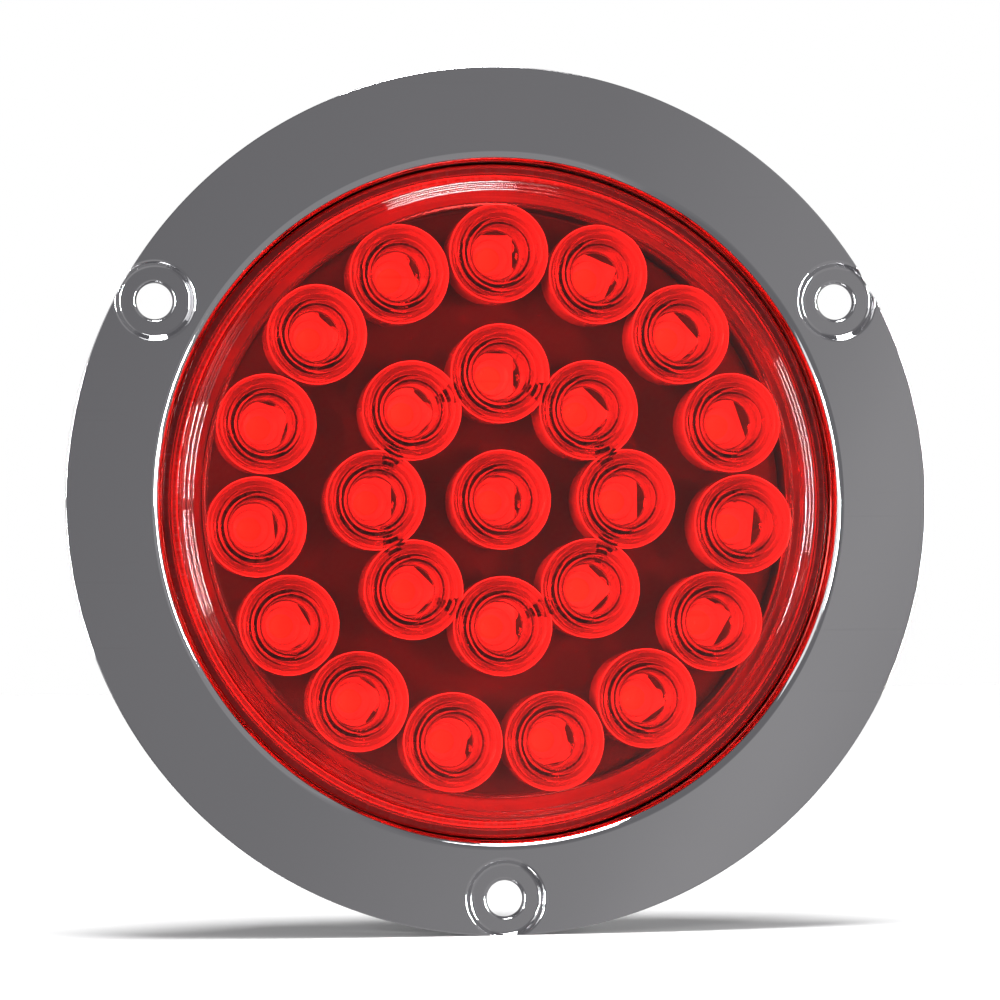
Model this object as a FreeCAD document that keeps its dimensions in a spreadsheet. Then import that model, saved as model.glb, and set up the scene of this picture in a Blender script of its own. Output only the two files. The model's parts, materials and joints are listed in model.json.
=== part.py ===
"""Round trailer tail light: a red LED lamp held in a flat bright flange with three screw holes.

The lamp axis runs along Y and the lens faces -Y, with +Z up. The origin is on the axis, in the
plane where the flange's screw dishes stand on the vehicle panel.
"""
import FreeCAD
import Part
import math
import os
import re
import Sketcher

SIZES = {
    # flange
    "flange_width": 14.15,
    "sheet": 1.0,
    "bend_radius": 1.5,
    "dish_depth": 1.0,
    "dish_radius": 6.35,
    "dish_wall_run": 0.75,
    "hole_inset": 5.85,
    "hole_count": 3,
    "hole_radius": 2.9,
    "hole_mouth_radius": 3.25,
    "ledge_reach": 5.3,
    # lens cover
    "brim_radius": 54.4,
    "brim_width": 2.8,
    "brim_thick": 2.2,
    "brim_drop": 3.6,
    "shoulder_height": 3.0,
    "ridge_count": 3,
    "ridge_width": 0.7,
    "ridge_rise": 0.6,
    "cover_thick": 1.6,
    "skirt_setback": 1.5,
    "skirt_thick": 2.0,
    "skirt_drop": 1.7,
    # lamp optics
    "outer_count": 15,
    "inner_count": 8,
    "barrel_gap": 0.44,
    "ring_gap": 3.34,
    "cover_gap": 0.4,
    "barrel_length": 10.2,
    "barrel_taper": 0.45,
    "dome_radius": 4.35,
    "dome_rise": 0.6,
    "tooth_count": 5,
    "tooth_depth": 0.35,
    "spigot_inset": 2.05,
    "pocket_radius": 3.7,
    "pocket_depth": 4.8,
    "carrier_thick": 1.2,
    "leg_radius": 1.2,
    "leg_head_radius": 1.9,
    "leg_head_height": 1.2,
    "leg_outset": 2.2,
    # board and what is soldered to it
    "board_thick": 1.6,
    "package_side": 5.0,
    "package_height": 0.8,
    "led_dome_radius": 2.2,
    "resistor_length": 3.2,
    "resistor_width": 1.6,
    "resistor_height": 0.7,
    "resistor_count": 8,
    "resistor_circle": 22.0,
    "diode_length": 4.4,
    "diode_width": 2.7,
    "diode_height": 2.1,
    "diode_count": 4,
    "driver_circle": 33.0,
    "driver_length": 6.0,
    "driver_width": 5.0,
    "driver_height": 1.6,
    "capacitor_radius": 3.15,
    "capacitor_height": 5.2,
    # housing
    "rim_thick": 2.6,
    "seat_gasket_thick": 1.5,
    "clip_thick": 1.2,
    "clip_bite": 0.8,
    "clip_reach": 2.0,
    "clip_gap": 12.0,
    "straight_depth": 14.0,
    "board_ledge": 3.7,
    "board_space": 6.2,
    "rear_wall": 2.0,
    "recess_depth": 2.0,
    "recess_border": 6.0,
    "taper_run": 3.7,
    "potting_thick": 1.6,
    "seal_width": 1.4,
    "seal_depth": 1.0,
    "seal_inset": 1.3,
    "vent_radius": 2.4,
    "vent_head_radius": 4.0,
    "vent_head_height": 1.4,
    "vent_height": 28.0,
    # rear socket
    "socket_end_radius": 10.0,
    "socket_half_straight": 7.0,
    "socket_wall": 1.5,
    "socket_foot": 2.0,
    "socket_foot_thick": 1.2,
    "socket_base": 3.0,
    "socket_depth": 11.0,
    "pin_radius": 1.8,
    "pin_spacing": 8.5,
    "pin_short": 2.5,
    "pin_tail": 1.3,
    "lead_radius": 0.9,
    "solder_radius": 1.9,
    "solder_height": 0.9,
    # clearances
    "loose_fit": 0.3,
    "close_fit": 0.2,
    "pin_fit": 0.05,
}

DERIVED = {
    # depths along Y, from the front to the rear
    "flange_front": "-(dish_depth + sheet)",
    "flange_back": "-dish_depth",
    "brim_front": "flange_front + brim_drop",
    "brim_back": "brim_front + brim_thick",
    "shoulder_edge": "brim_front - shoulder_height",
    "lens_face": "shoulder_edge - ridge_count * ridge_rise",
    "cover_inside": "lens_face + cover_thick",
    "skirt_end": "brim_back + skirt_drop",
    "optic_front": "cover_inside + cover_gap",
    "barrel_end": "optic_front + barrel_length",
    "board_front": "barrel_end + carrier_thick",
    "board_back": "board_front + board_thick",
    "package_front": "board_front - package_height",
    "rim_back": "brim_back + rim_thick",
    "ledge_front": "rim_back + seat_gasket_thick",
    "ledge_back": "ledge_front + sheet",
    "clip_back": "ledge_back + clip_thick",
    "floor_front": "board_back + board_space",
    "floor_back": "floor_front + rear_wall",
    "housing_back": "floor_back + recess_depth",
    "socket_inside": "floor_front - socket_foot_thick",
    "socket_bottom": "floor_back + socket_base - rear_wall",
    "socket_back": "socket_bottom + socket_depth",
    # radii from the lamp axis
    "opening_radius": "brim_radius + loose_fit",
    "collar_radius": "opening_radius + sheet",
    "bend_edge": "opening_radius + bend_radius",
    "flange_radius": "collar_radius + flange_width",
    "hole_circle_radius": "flange_radius - hole_inset",
    "ledge_radius": "opening_radius - ledge_reach + sheet",
    "shoulder_radius": "brim_radius - brim_width",
    "face_radius": "shoulder_radius - ridge_count * ridge_width",
    "cavity_radius": "face_radius - skirt_setback",
    "skirt_radius": "cavity_radius + skirt_thick",
    "rim_bore": "skirt_radius + close_fit",
    "rim_radius": "brim_radius - close_fit",
    "housing_bore": "cavity_radius + close_fit",
    "board_radius": "housing_bore - close_fit * 4",
    "board_ledge_bore": "housing_bore - board_ledge",
    "tail_radius": "rim_bore - taper_run",
    "recess_radius": "tail_radius - recess_border",
    "clip_groove_radius": "rim_bore - clip_bite",
    "seal_groove_inner": "rim_bore + seal_inset - close_fit / 2",
    "seal_groove_outer": "seal_groove_inner + seal_width + close_fit",
    "outer_ring": "(cavity_radius + barrel_gap / 2 - close_fit) / (1 + sin(180 / outer_count))",
    "optic_radius": "outer_ring * sin(180 / outer_count) - barrel_gap / 2",
    "inner_ring": "outer_ring - 2 * optic_radius - ring_gap",
    "barrel_rear_radius": "optic_radius - barrel_taper",
    "spigot_radius": "optic_radius - spigot_inset",
    "carrier_hole_radius": "spigot_radius + close_fit",
    "leg_circle": "outer_ring + leg_outset",
    "leg_angle": "180 / outer_count",
}

FUNCTIONS = ("sin", "cos")
SKETCH_ORIGIN = (-1, 1)

doc = FreeCAD.newDocument("tail_light")
sheet = doc.addObject("Spreadsheet::Sheet", "Sizes")
sheet.Label = "Sizes"
for row, (size_name, size_value) in enumerate(SIZES.items(), 1):
    sheet.set(f"A{row}", size_name)
    sheet.set(f"B{row}", str(size_value))
    sheet.setAlias(f"B{row}", size_name)
doc.recompute()

sub_parts = []


def bind(text):
    """Turn a formula in plain size names into one that reads the spreadsheet cells."""
    def swap(match):
        word = match.group(0)
        if word in FUNCTIONS:
            return word
        if word in DERIVED:
            return "(" + bind(DERIVED[word]) + ")"
        return "Sizes." + word
    return re.sub(r"[a-z][a-z_]*", swap, text)


def value(text):
    """The number a formula gives with the present sizes."""
    return float(sheet.evalExpression(bind(text)))


def new_body(label, several=False):
    """Start a sub-part; several is for one made of separate equal solids."""
    body = doc.addObject("PartDesign::Body", label)
    body.Label = label
    body.Placement = FreeCAD.Placement()
    body.AllowCompound = several
    sub_parts.append(body)
    return body


def origin_feature(body, role):
    """The body's own plane or axis of that role."""
    return next(item for item in body.Origin.OriginFeatures if item.Role == role)


def new_sketch(body, name, plane):
    """An empty sketch on one of the body's own planes."""
    sketch = body.newObject("Sketcher::SketchObject", name)
    sketch.AttachmentSupport = [(origin_feature(body, plane), "")]
    sketch.MapMode = "FlatFace"
    return sketch


def arc_through(start, end, radius):
    """A minor arc bulging to the left of its chord, or to the right for a negative radius."""
    chord = end - start
    reach = math.sqrt(max(radius * radius - (chord.Length / 2) ** 2, 0))
    inward = FreeCAD.Vector(chord.y, -chord.x, 0).normalize() * math.copysign(reach, radius)
    centre = (start + end) / 2 + inward
    first, last = (end, start) if radius > 0 else (start, end)
    angles = [math.atan2(place.y - centre.y, place.x - centre.x) for place in (first, last)]
    if angles[1] < angles[0]:
        angles[1] += 2 * math.pi
    circle = Part.Circle(centre, FreeCAD.Vector(0, 0, 1), abs(radius))
    return Part.ArcOfCircle(circle, *angles)


def pin_point(sketch, index, end, across, up):
    """Hold one end of a curve at the two formulas' place."""
    for kind, formula in (("DistanceX", across), ("DistanceY", up)):
        distance = Sketcher.Constraint(kind, *SKETCH_ORIGIN, index, end, value(formula))
        number = sketch.addConstraint(distance)
        sketch.setExpression(f"Constraints[{number}]", bind(formula))


def draw_outline(sketch, corners):
    """Closed outline of corners; a third entry makes the next side an arc of that radius."""
    places = [FreeCAD.Vector(value(corner[0]), value(corner[1]), 0) for corner in corners]
    ends = []
    for place, corner, after in zip(places, corners, places[1:] + places[:1]):
        if len(corner) == 3:
            curve = arc_through(place, after, value(corner[2]))
        else:
            curve = Part.LineSegment(place, after)
        index = sketch.addGeometry(curve, False)
        begins = (sketch.Geometry[index].StartPoint - place).Length < 1e-6
        ends.append((index, 1 if begins else 2, 2 if begins else 1))
        if len(corner) == 3:
            size = sketch.addConstraint(Sketcher.Constraint("Radius", index, abs(value(corner[2]))))
            sketch.setExpression(f"Constraints[{size}]", bind(corner[2].lstrip("-")))
    for (index, first, last), following in zip(ends, ends[1:] + ends[:1]):
        sketch.addConstraint(Sketcher.Constraint("Coincident", index, last, following[0], following[1]))
    for (index, first, last), corner in zip(ends, corners):
        pin_point(sketch, index, first, corner[0], corner[1])


def spin(body, name, corners, cut=False):
    """Turn an outline of (radius, depth) corners about the lamp axis, or cut that shape away."""
    sketch = new_sketch(body, name + "_outline", "XY_Plane")
    draw_outline(sketch, corners)
    feature = body.newObject("PartDesign::Groove" if cut else "PartDesign::Revolution", name)
    feature.Profile = sketch
    feature.ReferenceAxis = (sketch, ["V_Axis"])
    feature.Angle = 360
    doc.recompute()
    return feature


def spin_at(body, name, corners, circle, angle="0", cut=False):
    """Turn an outline of (depth, radius) corners about an axis parallel to the lamp axis."""
    sketch = new_sketch(body, name + "_outline", "YZ_Plane")
    sketch.setExpression("AttachmentOffset.Base.y", bind(f"({circle}) * cos({angle})"))
    sketch.setExpression("AttachmentOffset.Base.z", bind(f"({circle}) * sin({angle})"))
    draw_outline(sketch, corners)
    feature = body.newObject("PartDesign::Groove" if cut else "PartDesign::Revolution", name)
    feature.Profile = sketch
    feature.ReferenceAxis = (sketch, ["H_Axis"])
    feature.Angle = 360
    doc.recompute()
    return feature


def block(body, name, corners, start, length, cut=False):
    """Push an outline of (X, Z) corners rearwards from one depth, or cut that shape away."""
    sketch = new_sketch(body, name + "_outline", "XZ_Plane")
    sketch.setExpression("AttachmentOffset.Base.z", bind(f"-({start})"))
    draw_outline(sketch, corners)
    feature = body.newObject("PartDesign::Pocket" if cut else "PartDesign::Pad", name)
    feature.Profile = sketch
    feature.Reversed = not cut
    feature.setExpression("Length", bind(length))
    doc.recompute()
    return feature


def repeat(body, features, count):
    """Repeat features evenly round the lamp axis."""
    pattern = body.newObject("PartDesign::PolarPattern", features[0].Name + "_round")
    pattern.Originals = features
    pattern.Axis = (origin_feature(body, "Y_Axis"), [""])
    pattern.Angle = 360
    pattern.setExpression("Occurrences", bind(count))
    body.Tip = pattern
    doc.recompute()
    return pattern


def rectangle(x, z, width, height):
    """Corners of an upright rectangle about a centre."""
    left, right = f"({x}) - ({width}) / 2", f"({x}) + ({width}) / 2"
    low, high = f"({z}) - ({height}) / 2", f"({z}) + ({height}) / 2"
    return [(left, low), (right, low), (right, high), (left, high)]


def slot_outline(end_radius):
    """Corners of the rear socket's long rounded outline with ends of one radius."""
    side = "socket_half_straight"
    tip = f"{side} + {end_radius}"
    turn = f"-({end_radius})"
    return [
        (f"-{side}", f"-({end_radius})"),
        (side, f"-({end_radius})", turn),
        (tip, "0", turn),
        (side, end_radius),
        (f"-{side}", end_radius, turn),
        (f"-({tip})", "0", turn),
    ]


def at_every_optic(body, name, corners, cut=False):
    """Turn one outline at each lamp optic: the outer ring, the inner ring and the centre."""
    centre = spin_at(body, name + "_centre", corners, "0", cut=cut)
    body.Tip = centre
    outer = spin_at(body, name + "_outer", corners, "outer_ring", cut=cut)
    repeat(body, [outer], "outer_count")
    inner = spin_at(body, name + "_inner", corners, "inner_ring", cut=cut)
    repeat(body, [inner], "inner_count")


def make_flange():
    """Flat bright sheet ring with a rolled-in collar, a rear ledge and three dished holes."""
    body = new_body("flange")
    spin(body, "pressing", [
        ("flange_radius + sheet", "flange_front"),
        ("bend_edge", "flange_front", "bend_radius"),
        ("opening_radius", "flange_front + bend_radius"),
        ("opening_radius", "ledge_front"),
        ("ledge_radius", "ledge_front"),
        ("ledge_radius", "ledge_back"),
        ("opening_radius", "ledge_back", "sheet"),
        ("collar_radius", "ledge_front"),
        ("collar_radius", "flange_front + bend_radius", "-(bend_radius - sheet)"),
        ("bend_edge", "flange_back"),
        ("flange_radius + sheet", "flange_back"),
    ])
    opening = spin_at(body, "dish_opening", [
        ("flange_front - sheet", "0"),
        ("flange_front - sheet", "dish_radius"),
        ("flange_back / 2", "dish_radius"),
        ("flange_back / 2", "0"),
    ], "-hole_circle_radius", cut=True)
    dish = spin_at(body, "dish", [
        ("flange_front", "dish_radius"),
        ("-sheet", "dish_radius - dish_wall_run"),
        ("-sheet", "hole_mouth_radius"),
        ("-sheet / 2", "hole_radius"),
        ("0", "hole_radius"),
        ("0", "dish_radius - dish_wall_run / 2"),
        ("flange_back", "dish_radius + dish_wall_run"),
        ("flange_back", "dish_radius"),
    ], "-hole_circle_radius")
    repeat(body, [opening, dish], "hole_count")
    spin(body, "blank_edge", [
        ("flange_radius", "flange_front - sheet"),
        ("flange_radius + 2 * dish_radius", "flange_front - sheet"),
        ("flange_radius + 2 * dish_radius", "sheet"),
        ("flange_radius", "sheet"),
    ], cut=True)


def make_mount_gasket():
    """Foam ring that fills the space between the flange and the vehicle panel."""
    body = new_body("mount_gasket")
    spin(body, "ring", [
        ("bend_edge + close_fit / 2", "flange_back"),
        ("flange_radius - 2 * dish_wall_run", "flange_back"),
        ("flange_radius - 2 * dish_wall_run", "0"),
        ("bend_edge + close_fit / 2", "0"),
    ])
    notch = spin_at(body, "notch", [
        ("flange_back - sheet", "0"),
        ("flange_back - sheet", "dish_radius + dish_wall_run + close_fit"),
        ("sheet", "dish_radius + dish_wall_run + close_fit"),
        ("sheet", "0"),
    ], "-hole_circle_radius", cut=True)
    repeat(body, [notch], "hole_count")


def make_lens_cover():
    """Red cover: flat face, three rounded ridges, a brim and a skirt behind it."""
    body = new_body("lens_cover")
    ridges = []
    for step in range(SIZES["ridge_count"]):
        radius = f"face_radius + {step} * ridge_width"
        ridges.append((radius, f"lens_face + {step} * ridge_rise", "-ridge_width"))
    spin(body, "cover", [("0", "lens_face")] + ridges + [
        ("shoulder_radius", "shoulder_edge"),
        ("shoulder_radius", "brim_front"),
        ("brim_radius", "brim_front"),
        ("brim_radius", "brim_back"),
        ("skirt_radius", "brim_back"),
        ("skirt_radius", "skirt_end"),
        ("cavity_radius", "skirt_end"),
        ("cavity_radius", "cover_inside"),
        ("0", "cover_inside"),
    ])


def make_lens_seal():
    """Square-section rubber ring in the groove of the housing's rim."""
    body = new_body("lens_seal")
    spin(body, "ring", [
        ("seal_groove_inner + close_fit / 2", "brim_back"),
        ("seal_groove_outer - close_fit / 2", "brim_back"),
        ("seal_groove_outer - close_fit / 2", "brim_back + seal_depth"),
        ("seal_groove_inner + close_fit / 2", "brim_back + seal_depth"),
    ])


def make_housing():
    """Black can: front rim, clip groove, board ledge, tapered tail and a recessed rear wall."""
    body = new_body("housing")
    spin(body, "can", [
        ("rim_bore", "brim_back"),
        ("seal_groove_inner", "brim_back"),
        ("seal_groove_inner", "brim_back + seal_depth"),
        ("seal_groove_outer", "brim_back + seal_depth"),
        ("seal_groove_outer", "brim_back"),
        ("rim_radius", "brim_back"),
        ("rim_radius", "rim_back"),
        ("rim_bore", "rim_back"),
        ("rim_bore", "ledge_back"),
        ("clip_groove_radius", "ledge_back"),
        ("clip_groove_radius", "clip_back + pin_fit"),
        ("rim_bore", "clip_back + pin_fit"),
        ("rim_bore", "straight_depth"),
        ("tail_radius", "housing_back"),
        ("recess_radius", "housing_back"),
        ("recess_radius", "floor_back"),
        ("0", "floor_back"),
        ("0", "floor_front"),
        ("board_ledge_bore", "floor_front"),
        ("board_ledge_bore", "board_back"),
        ("housing_bore", "board_back"),
        ("housing_bore", "skirt_end + close_fit"),
        ("rim_bore", "skirt_end + close_fit"),
    ])
    block(body, "socket_hole", slot_outline("(socket_end_radius + pin_fit)"),
          "floor_front - sheet", "rear_wall + 2 * sheet", cut=True)
    spin_at(body, "vent_hole", [
        ("floor_front - sheet", "0"),
        ("floor_front - sheet", "vent_radius + pin_fit"),
        ("floor_back + sheet", "vent_radius + pin_fit"),
        ("floor_back + sheet", "0"),
    ], "vent_height", cut=True)


def make_seat_gasket():
    """Rubber ring between the housing's rim and the flange's rear ledge."""
    body = new_body("seat_gasket")
    spin(body, "ring", [
        ("ledge_radius + close_fit", "rim_back"),
        ("rim_radius - close_fit", "rim_back"),
        ("rim_radius - close_fit", "ledge_front"),
        ("ledge_radius + close_fit", "ledge_front"),
    ])


def make_retaining_clip():
    """Split steel ring in the housing's groove, behind the flange's ledge."""
    body = new_body("retaining_clip")
    spin(body, "ring", [
        ("clip_groove_radius + pin_fit", "ledge_back"),
        ("ledge_radius + clip_reach", "ledge_back"),
        ("ledge_radius + clip_reach", "clip_back"),
        ("clip_groove_radius + pin_fit", "clip_back"),
    ])
    block(body, "split", rectangle("0", "-ledge_radius", "clip_gap", "4 * clip_reach"),
          "ledge_back - sheet", "clip_thick + 2 * sheet", cut=True)


def barrel_corners():
    """Half section of one clear light-collecting barrel, as (depth, radius) corners."""
    corners = [("optic_front", "0", "(dome_radius ^ 2 + dome_rise ^ 2) / (2 * dome_rise)")]
    corners.append(("optic_front + dome_rise", "dome_radius"))
    for tooth in range(SIZES["tooth_count"]):
        low = f"dome_radius + (optic_radius - dome_radius) * {tooth} / tooth_count"
        high = f"dome_radius + (optic_radius - dome_radius) * {tooth + 1} / tooth_count"
        if tooth:
            corners.append(("optic_front + tooth_depth", low))
        corners.append(("optic_front", high))
    return corners + [
        ("barrel_end", "barrel_rear_radius"),
        ("barrel_end", "spigot_radius"),
        ("board_front", "spigot_radius"),
        ("board_front", "pocket_radius"),
        ("board_front - pocket_depth", "pocket_radius"),
        ("board_front - pocket_depth", "0"),
    ]


def make_optics():
    """Clear barrels: a ring of separate ones, a ring moulded in one piece and one at the centre."""
    outer = new_body("optics_outer", several=True)
    first = spin_at(outer, "outer_barrel", barrel_corners(), "outer_ring")
    repeat(outer, [first], "outer_count")
    inner = new_body("optics_inner")
    spin(inner, "inner_web", [
        ("inner_ring - spigot_inset", "barrel_end - carrier_thick"),
        ("inner_ring + spigot_inset", "barrel_end - carrier_thick"),
        ("inner_ring + spigot_inset", "barrel_end"),
        ("inner_ring - spigot_inset", "barrel_end"),
    ])
    first = spin_at(inner, "inner_barrel", barrel_corners(), "inner_ring")
    repeat(inner, [first], "inner_count")
    hollow = spin_at(inner, "inner_pocket", [
        ("board_front - pocket_depth", "0"),
        ("board_front - pocket_depth", "pocket_radius"),
        ("board_front + sheet", "pocket_radius"),
        ("board_front + sheet", "0"),
    ], "inner_ring", cut=True)
    repeat(inner, [hollow], "inner_count")
    centre = new_body("optic_centre")
    spin_at(centre, "centre_barrel", barrel_corners(), "0")


def make_optic_carrier():
    """Dark plate that holds the barrels' spigots, with three legs staked through the board."""
    body = new_body("optic_carrier")
    spin(body, "plate", [
        ("0", "barrel_end"),
        ("board_radius", "barrel_end"),
        ("board_radius", "board_front"),
        ("0", "board_front"),
    ])
    leg = spin_at(body, "leg", [
        ("barrel_end", "0"),
        ("barrel_end", "leg_radius"),
        ("board_back", "leg_radius"),
        ("board_back", "leg_head_radius"),
        ("board_back + leg_head_height", "leg_radius"),
        ("board_back + leg_head_height", "0"),
    ], "leg_circle", "leg_angle")
    repeat(body, [leg], "hole_count")
    at_every_optic(body, "spigot_hole", [
        ("barrel_end - sheet", "0"),
        ("barrel_end - sheet", "carrier_hole_radius"),
        ("board_front + sheet / 2", "carrier_hole_radius"),
        ("board_front + sheet / 2", "0"),
    ], cut=True)


def make_led_packages():
    """White square light-emitter bases, one under each barrel."""
    body = new_body("led_packages", several=True)
    square = "package_side"
    block(body, "package_centre", rectangle("0", "0", square, square), "package_front", "package_height")
    for ring, count in (("outer_ring", "outer_count"), ("inner_ring", "inner_count")):
        base = block(body, "package_" + ring, rectangle("0", ring, square, square),
                     "package_front", "package_height")
        repeat(body, [base], count)


def make_led_domes():
    """Clear half-round lenses on the light-emitter bases."""
    body = new_body("led_domes", several=True)
    at_every_optic(body, "led_dome", [
        ("package_front - led_dome_radius", "0", "led_dome_radius"),
        ("package_front", "led_dome_radius"),
        ("package_front", "0"),
    ])


def make_led_board():
    """Round circuit board with three holes for the carrier's legs."""
    body = new_body("led_board")
    spin(body, "disc", [
        ("0", "board_front"),
        ("board_radius", "board_front"),
        ("board_radius", "board_back"),
        ("0", "board_back"),
    ])
    hole = spin_at(body, "leg_hole", [
        ("board_front - sheet", "0"),
        ("board_front - sheet", "leg_radius + pin_fit"),
        ("board_back + sheet", "leg_radius + pin_fit"),
        ("board_back + sheet", "0"),
    ], "leg_circle", "leg_angle", cut=True)
    repeat(body, [hole], "hole_count")


def make_driver_parts():
    """Resistors, diodes, driver chips and capacitors on the board's rear face."""
    resistors = new_body("resistors", several=True)
    first = block(resistors, "resistor",
                  rectangle("0", "resistor_circle", "resistor_length", "resistor_width"),
                  "board_back", "resistor_height")
    repeat(resistors, [first], "resistor_count")
    diodes = new_body("diodes", several=True)
    corner = "driver_circle * cos(45)"
    first = block(diodes, "diode", rectangle(corner, corner, "diode_length", "diode_width"),
                  "board_back", "diode_height")
    repeat(diodes, [first], "diode_count")
    chips = new_body("driver_chips", several=True)
    first = block(chips, "chip", rectangle("0", "driver_circle", "driver_length", "driver_width"),
                  "board_back", "driver_height")
    repeat(chips, [first], "diode_count / 2")
    capacitors = new_body("capacitors", several=True)
    first = spin_at(capacitors, "capacitor", [
        ("board_back", "0"),
        ("board_back", "capacitor_radius"),
        ("board_back + capacitor_height", "capacitor_radius"),
        ("board_back + capacitor_height", "0"),
    ], "driver_circle", "90")
    repeat(capacitors, [first], "diode_count / 2")


def in_a_row(body, name, corners):
    """Turn one outline at each of the three socket pins, side by side along X."""
    for place, angle in (("left", "270"), ("middle", "0"), ("right", "90")):
        circle = "0" if place == "middle" else "pin_spacing"
        body.Tip = spin_at(body, f"{name}_{place}", corners, circle, angle)


def make_leads():
    """Short solid leads from the board to the pins, with a solder cone round each."""
    leads = new_body("pin_leads", several=True)
    in_a_row(leads, "lead", [
        ("board_back", "0"),
        ("board_back", "lead_radius"),
        ("socket_inside - pin_tail", "lead_radius"),
        ("socket_inside - pin_tail", "0"),
    ])
    solder = new_body("solder_joints", several=True)
    in_a_row(solder, "solder", [
        ("board_back", "lead_radius + pin_fit"),
        ("board_back", "solder_radius"),
        ("board_back + solder_height", "lead_radius + 2 * pin_fit"),
        ("board_back + solder_height", "lead_radius + pin_fit"),
    ])


def make_socket():
    """Rear inlet: a long rounded shroud with a closed inner end that holds three pins."""
    body = new_body("socket_shell")
    foot = slot_outline("(socket_end_radius + socket_foot)")
    block(body, "foot", foot, "socket_inside", "socket_foot_thick")
    block(body, "shroud", slot_outline("socket_end_radius"), "floor_front",
          "socket_back - floor_front")
    block(body, "cavity", slot_outline("(socket_end_radius - socket_wall)"),
          "socket_bottom", "socket_depth + sheet", cut=True)
    for place, angle in (("left", "270"), ("middle", "0"), ("right", "90")):
        circle = "0" if place == "middle" else "pin_spacing"
        spin_at(body, f"pin_hole_{place}", [
            ("socket_inside - sheet", "0"),
            ("socket_inside - sheet", "pin_radius + pin_fit"),
            ("socket_bottom + sheet", "pin_radius + pin_fit"),
            ("socket_bottom + sheet", "0"),
        ], circle, angle, cut=True)


def make_terminal_pins():
    """Three round contact pins with rounded noses, set back inside the shroud."""
    body = new_body("terminal_pins", several=True)
    in_a_row(body, "pin", [
        ("socket_inside - pin_tail", "0"),
        ("socket_inside - pin_tail", "pin_radius"),
        ("socket_back - pin_short - pin_radius", "pin_radius", "pin_radius"),
        ("socket_back - pin_short", "0"),
    ])


def make_potting():
    """Sealing resin poured into the rear recess round the socket and the vent."""
    body = new_body("potting")
    spin(body, "pool", [
        ("0", "floor_back"),
        ("recess_radius - pin_fit", "floor_back"),
        ("recess_radius - pin_fit", "floor_back + potting_thick"),
        ("0", "floor_back + potting_thick"),
    ])
    block(body, "socket_way", slot_outline("(socket_end_radius + pin_fit)"),
          "floor_back - sheet", "potting_thick + 2 * sheet", cut=True)
    spin_at(body, "vent_way", [
        ("floor_back - sheet", "0"),
        ("floor_back - sheet", "vent_head_radius + pin_fit"),
        ("floor_back + potting_thick + sheet", "vent_head_radius + pin_fit"),
        ("floor_back + potting_thick + sheet", "0"),
    ], "vent_height", cut=True)


def make_vent_plug():
    """Breather plug with a round head, pushed into the rear wall above the socket."""
    body = new_body("vent_plug")
    spin_at(body, "plug", [
        ("floor_front", "0"),
        ("floor_front", "vent_radius"),
        ("floor_back", "vent_radius"),
        ("floor_back", "vent_head_radius"),
        ("floor_back + vent_head_height", "vent_head_radius"),
        ("floor_back + vent_head_height", "0"),
    ], "vent_height")


def check_and_export():
    """Refuse a broken feature or an empty sub-part, then write one file per sub-part."""
    doc.recompute()
    for item in doc.Objects:
        if "Invalid" in item.State or "Error" in item.State:
            raise RuntimeError(f"{item.Label} did not build: {item.State}")
    os.makedirs("parts", exist_ok=True)
    for body in sub_parts:
        shape = body.Shape
        if shape.isNull() or not shape.isValid() or not shape.Solids:
            raise RuntimeError(f"{body.Label} has no valid shape")
        shape.exportStep(os.path.join("parts", body.Label + ".step"))
        print(f"{body.Label}: {len(shape.Solids)} solids, {shape.Volume:.1f} mm3")


make_flange()
make_mount_gasket()
make_lens_cover()
make_lens_seal()
make_housing()
make_seat_gasket()
make_retaining_clip()
make_optics()
make_optic_carrier()
make_led_packages()
make_led_domes()
make_led_board()
make_driver_parts()
make_leads()
make_socket()
make_terminal_pins()
make_potting()
make_vent_plug()
check_and_export()
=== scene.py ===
"""Looks of a round trailer tail light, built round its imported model.

Laid out as an add-on and run as a script. The lamp axis runs along Y, the lens faces -Y and
+Z is up. Outlines are written as (radius, depth) in millimetres; meshes are in metres.
"""
import json
import math

import bmesh
import bpy
import numpy as np
from mathutils import Matrix, Vector
from mathutils.geometry import delaunay_2d_cdt


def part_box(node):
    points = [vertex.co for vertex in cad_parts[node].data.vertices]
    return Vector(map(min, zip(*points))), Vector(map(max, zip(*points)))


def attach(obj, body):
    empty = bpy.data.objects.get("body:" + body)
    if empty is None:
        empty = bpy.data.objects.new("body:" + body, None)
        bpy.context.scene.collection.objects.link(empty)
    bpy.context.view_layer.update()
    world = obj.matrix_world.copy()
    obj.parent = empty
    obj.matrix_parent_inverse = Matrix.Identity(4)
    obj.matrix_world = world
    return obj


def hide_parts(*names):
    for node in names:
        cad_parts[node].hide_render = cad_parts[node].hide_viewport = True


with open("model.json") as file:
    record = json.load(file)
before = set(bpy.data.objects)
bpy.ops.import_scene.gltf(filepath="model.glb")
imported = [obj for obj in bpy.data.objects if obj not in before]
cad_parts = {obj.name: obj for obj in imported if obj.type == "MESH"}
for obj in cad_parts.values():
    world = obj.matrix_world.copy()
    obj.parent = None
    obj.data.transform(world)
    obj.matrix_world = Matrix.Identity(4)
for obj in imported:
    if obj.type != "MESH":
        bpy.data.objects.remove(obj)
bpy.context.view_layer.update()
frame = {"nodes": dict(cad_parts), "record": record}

bl_info = {
    "name": "Trailer tail light",
    "version": (1, 0, 0),
    "blender": (4, 5, 0),
    "location": "3D View > Sidebar > Tail light",
    "description": "Builds a round trailer tail light round its packed model",
    "category": "Object",
}

MM = 0.001
FULL_TURN = 2 * math.pi


def corner(node, high=False):
    """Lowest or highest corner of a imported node, in millimetres."""
    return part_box(node)[1 if high else 0] / MM


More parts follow.
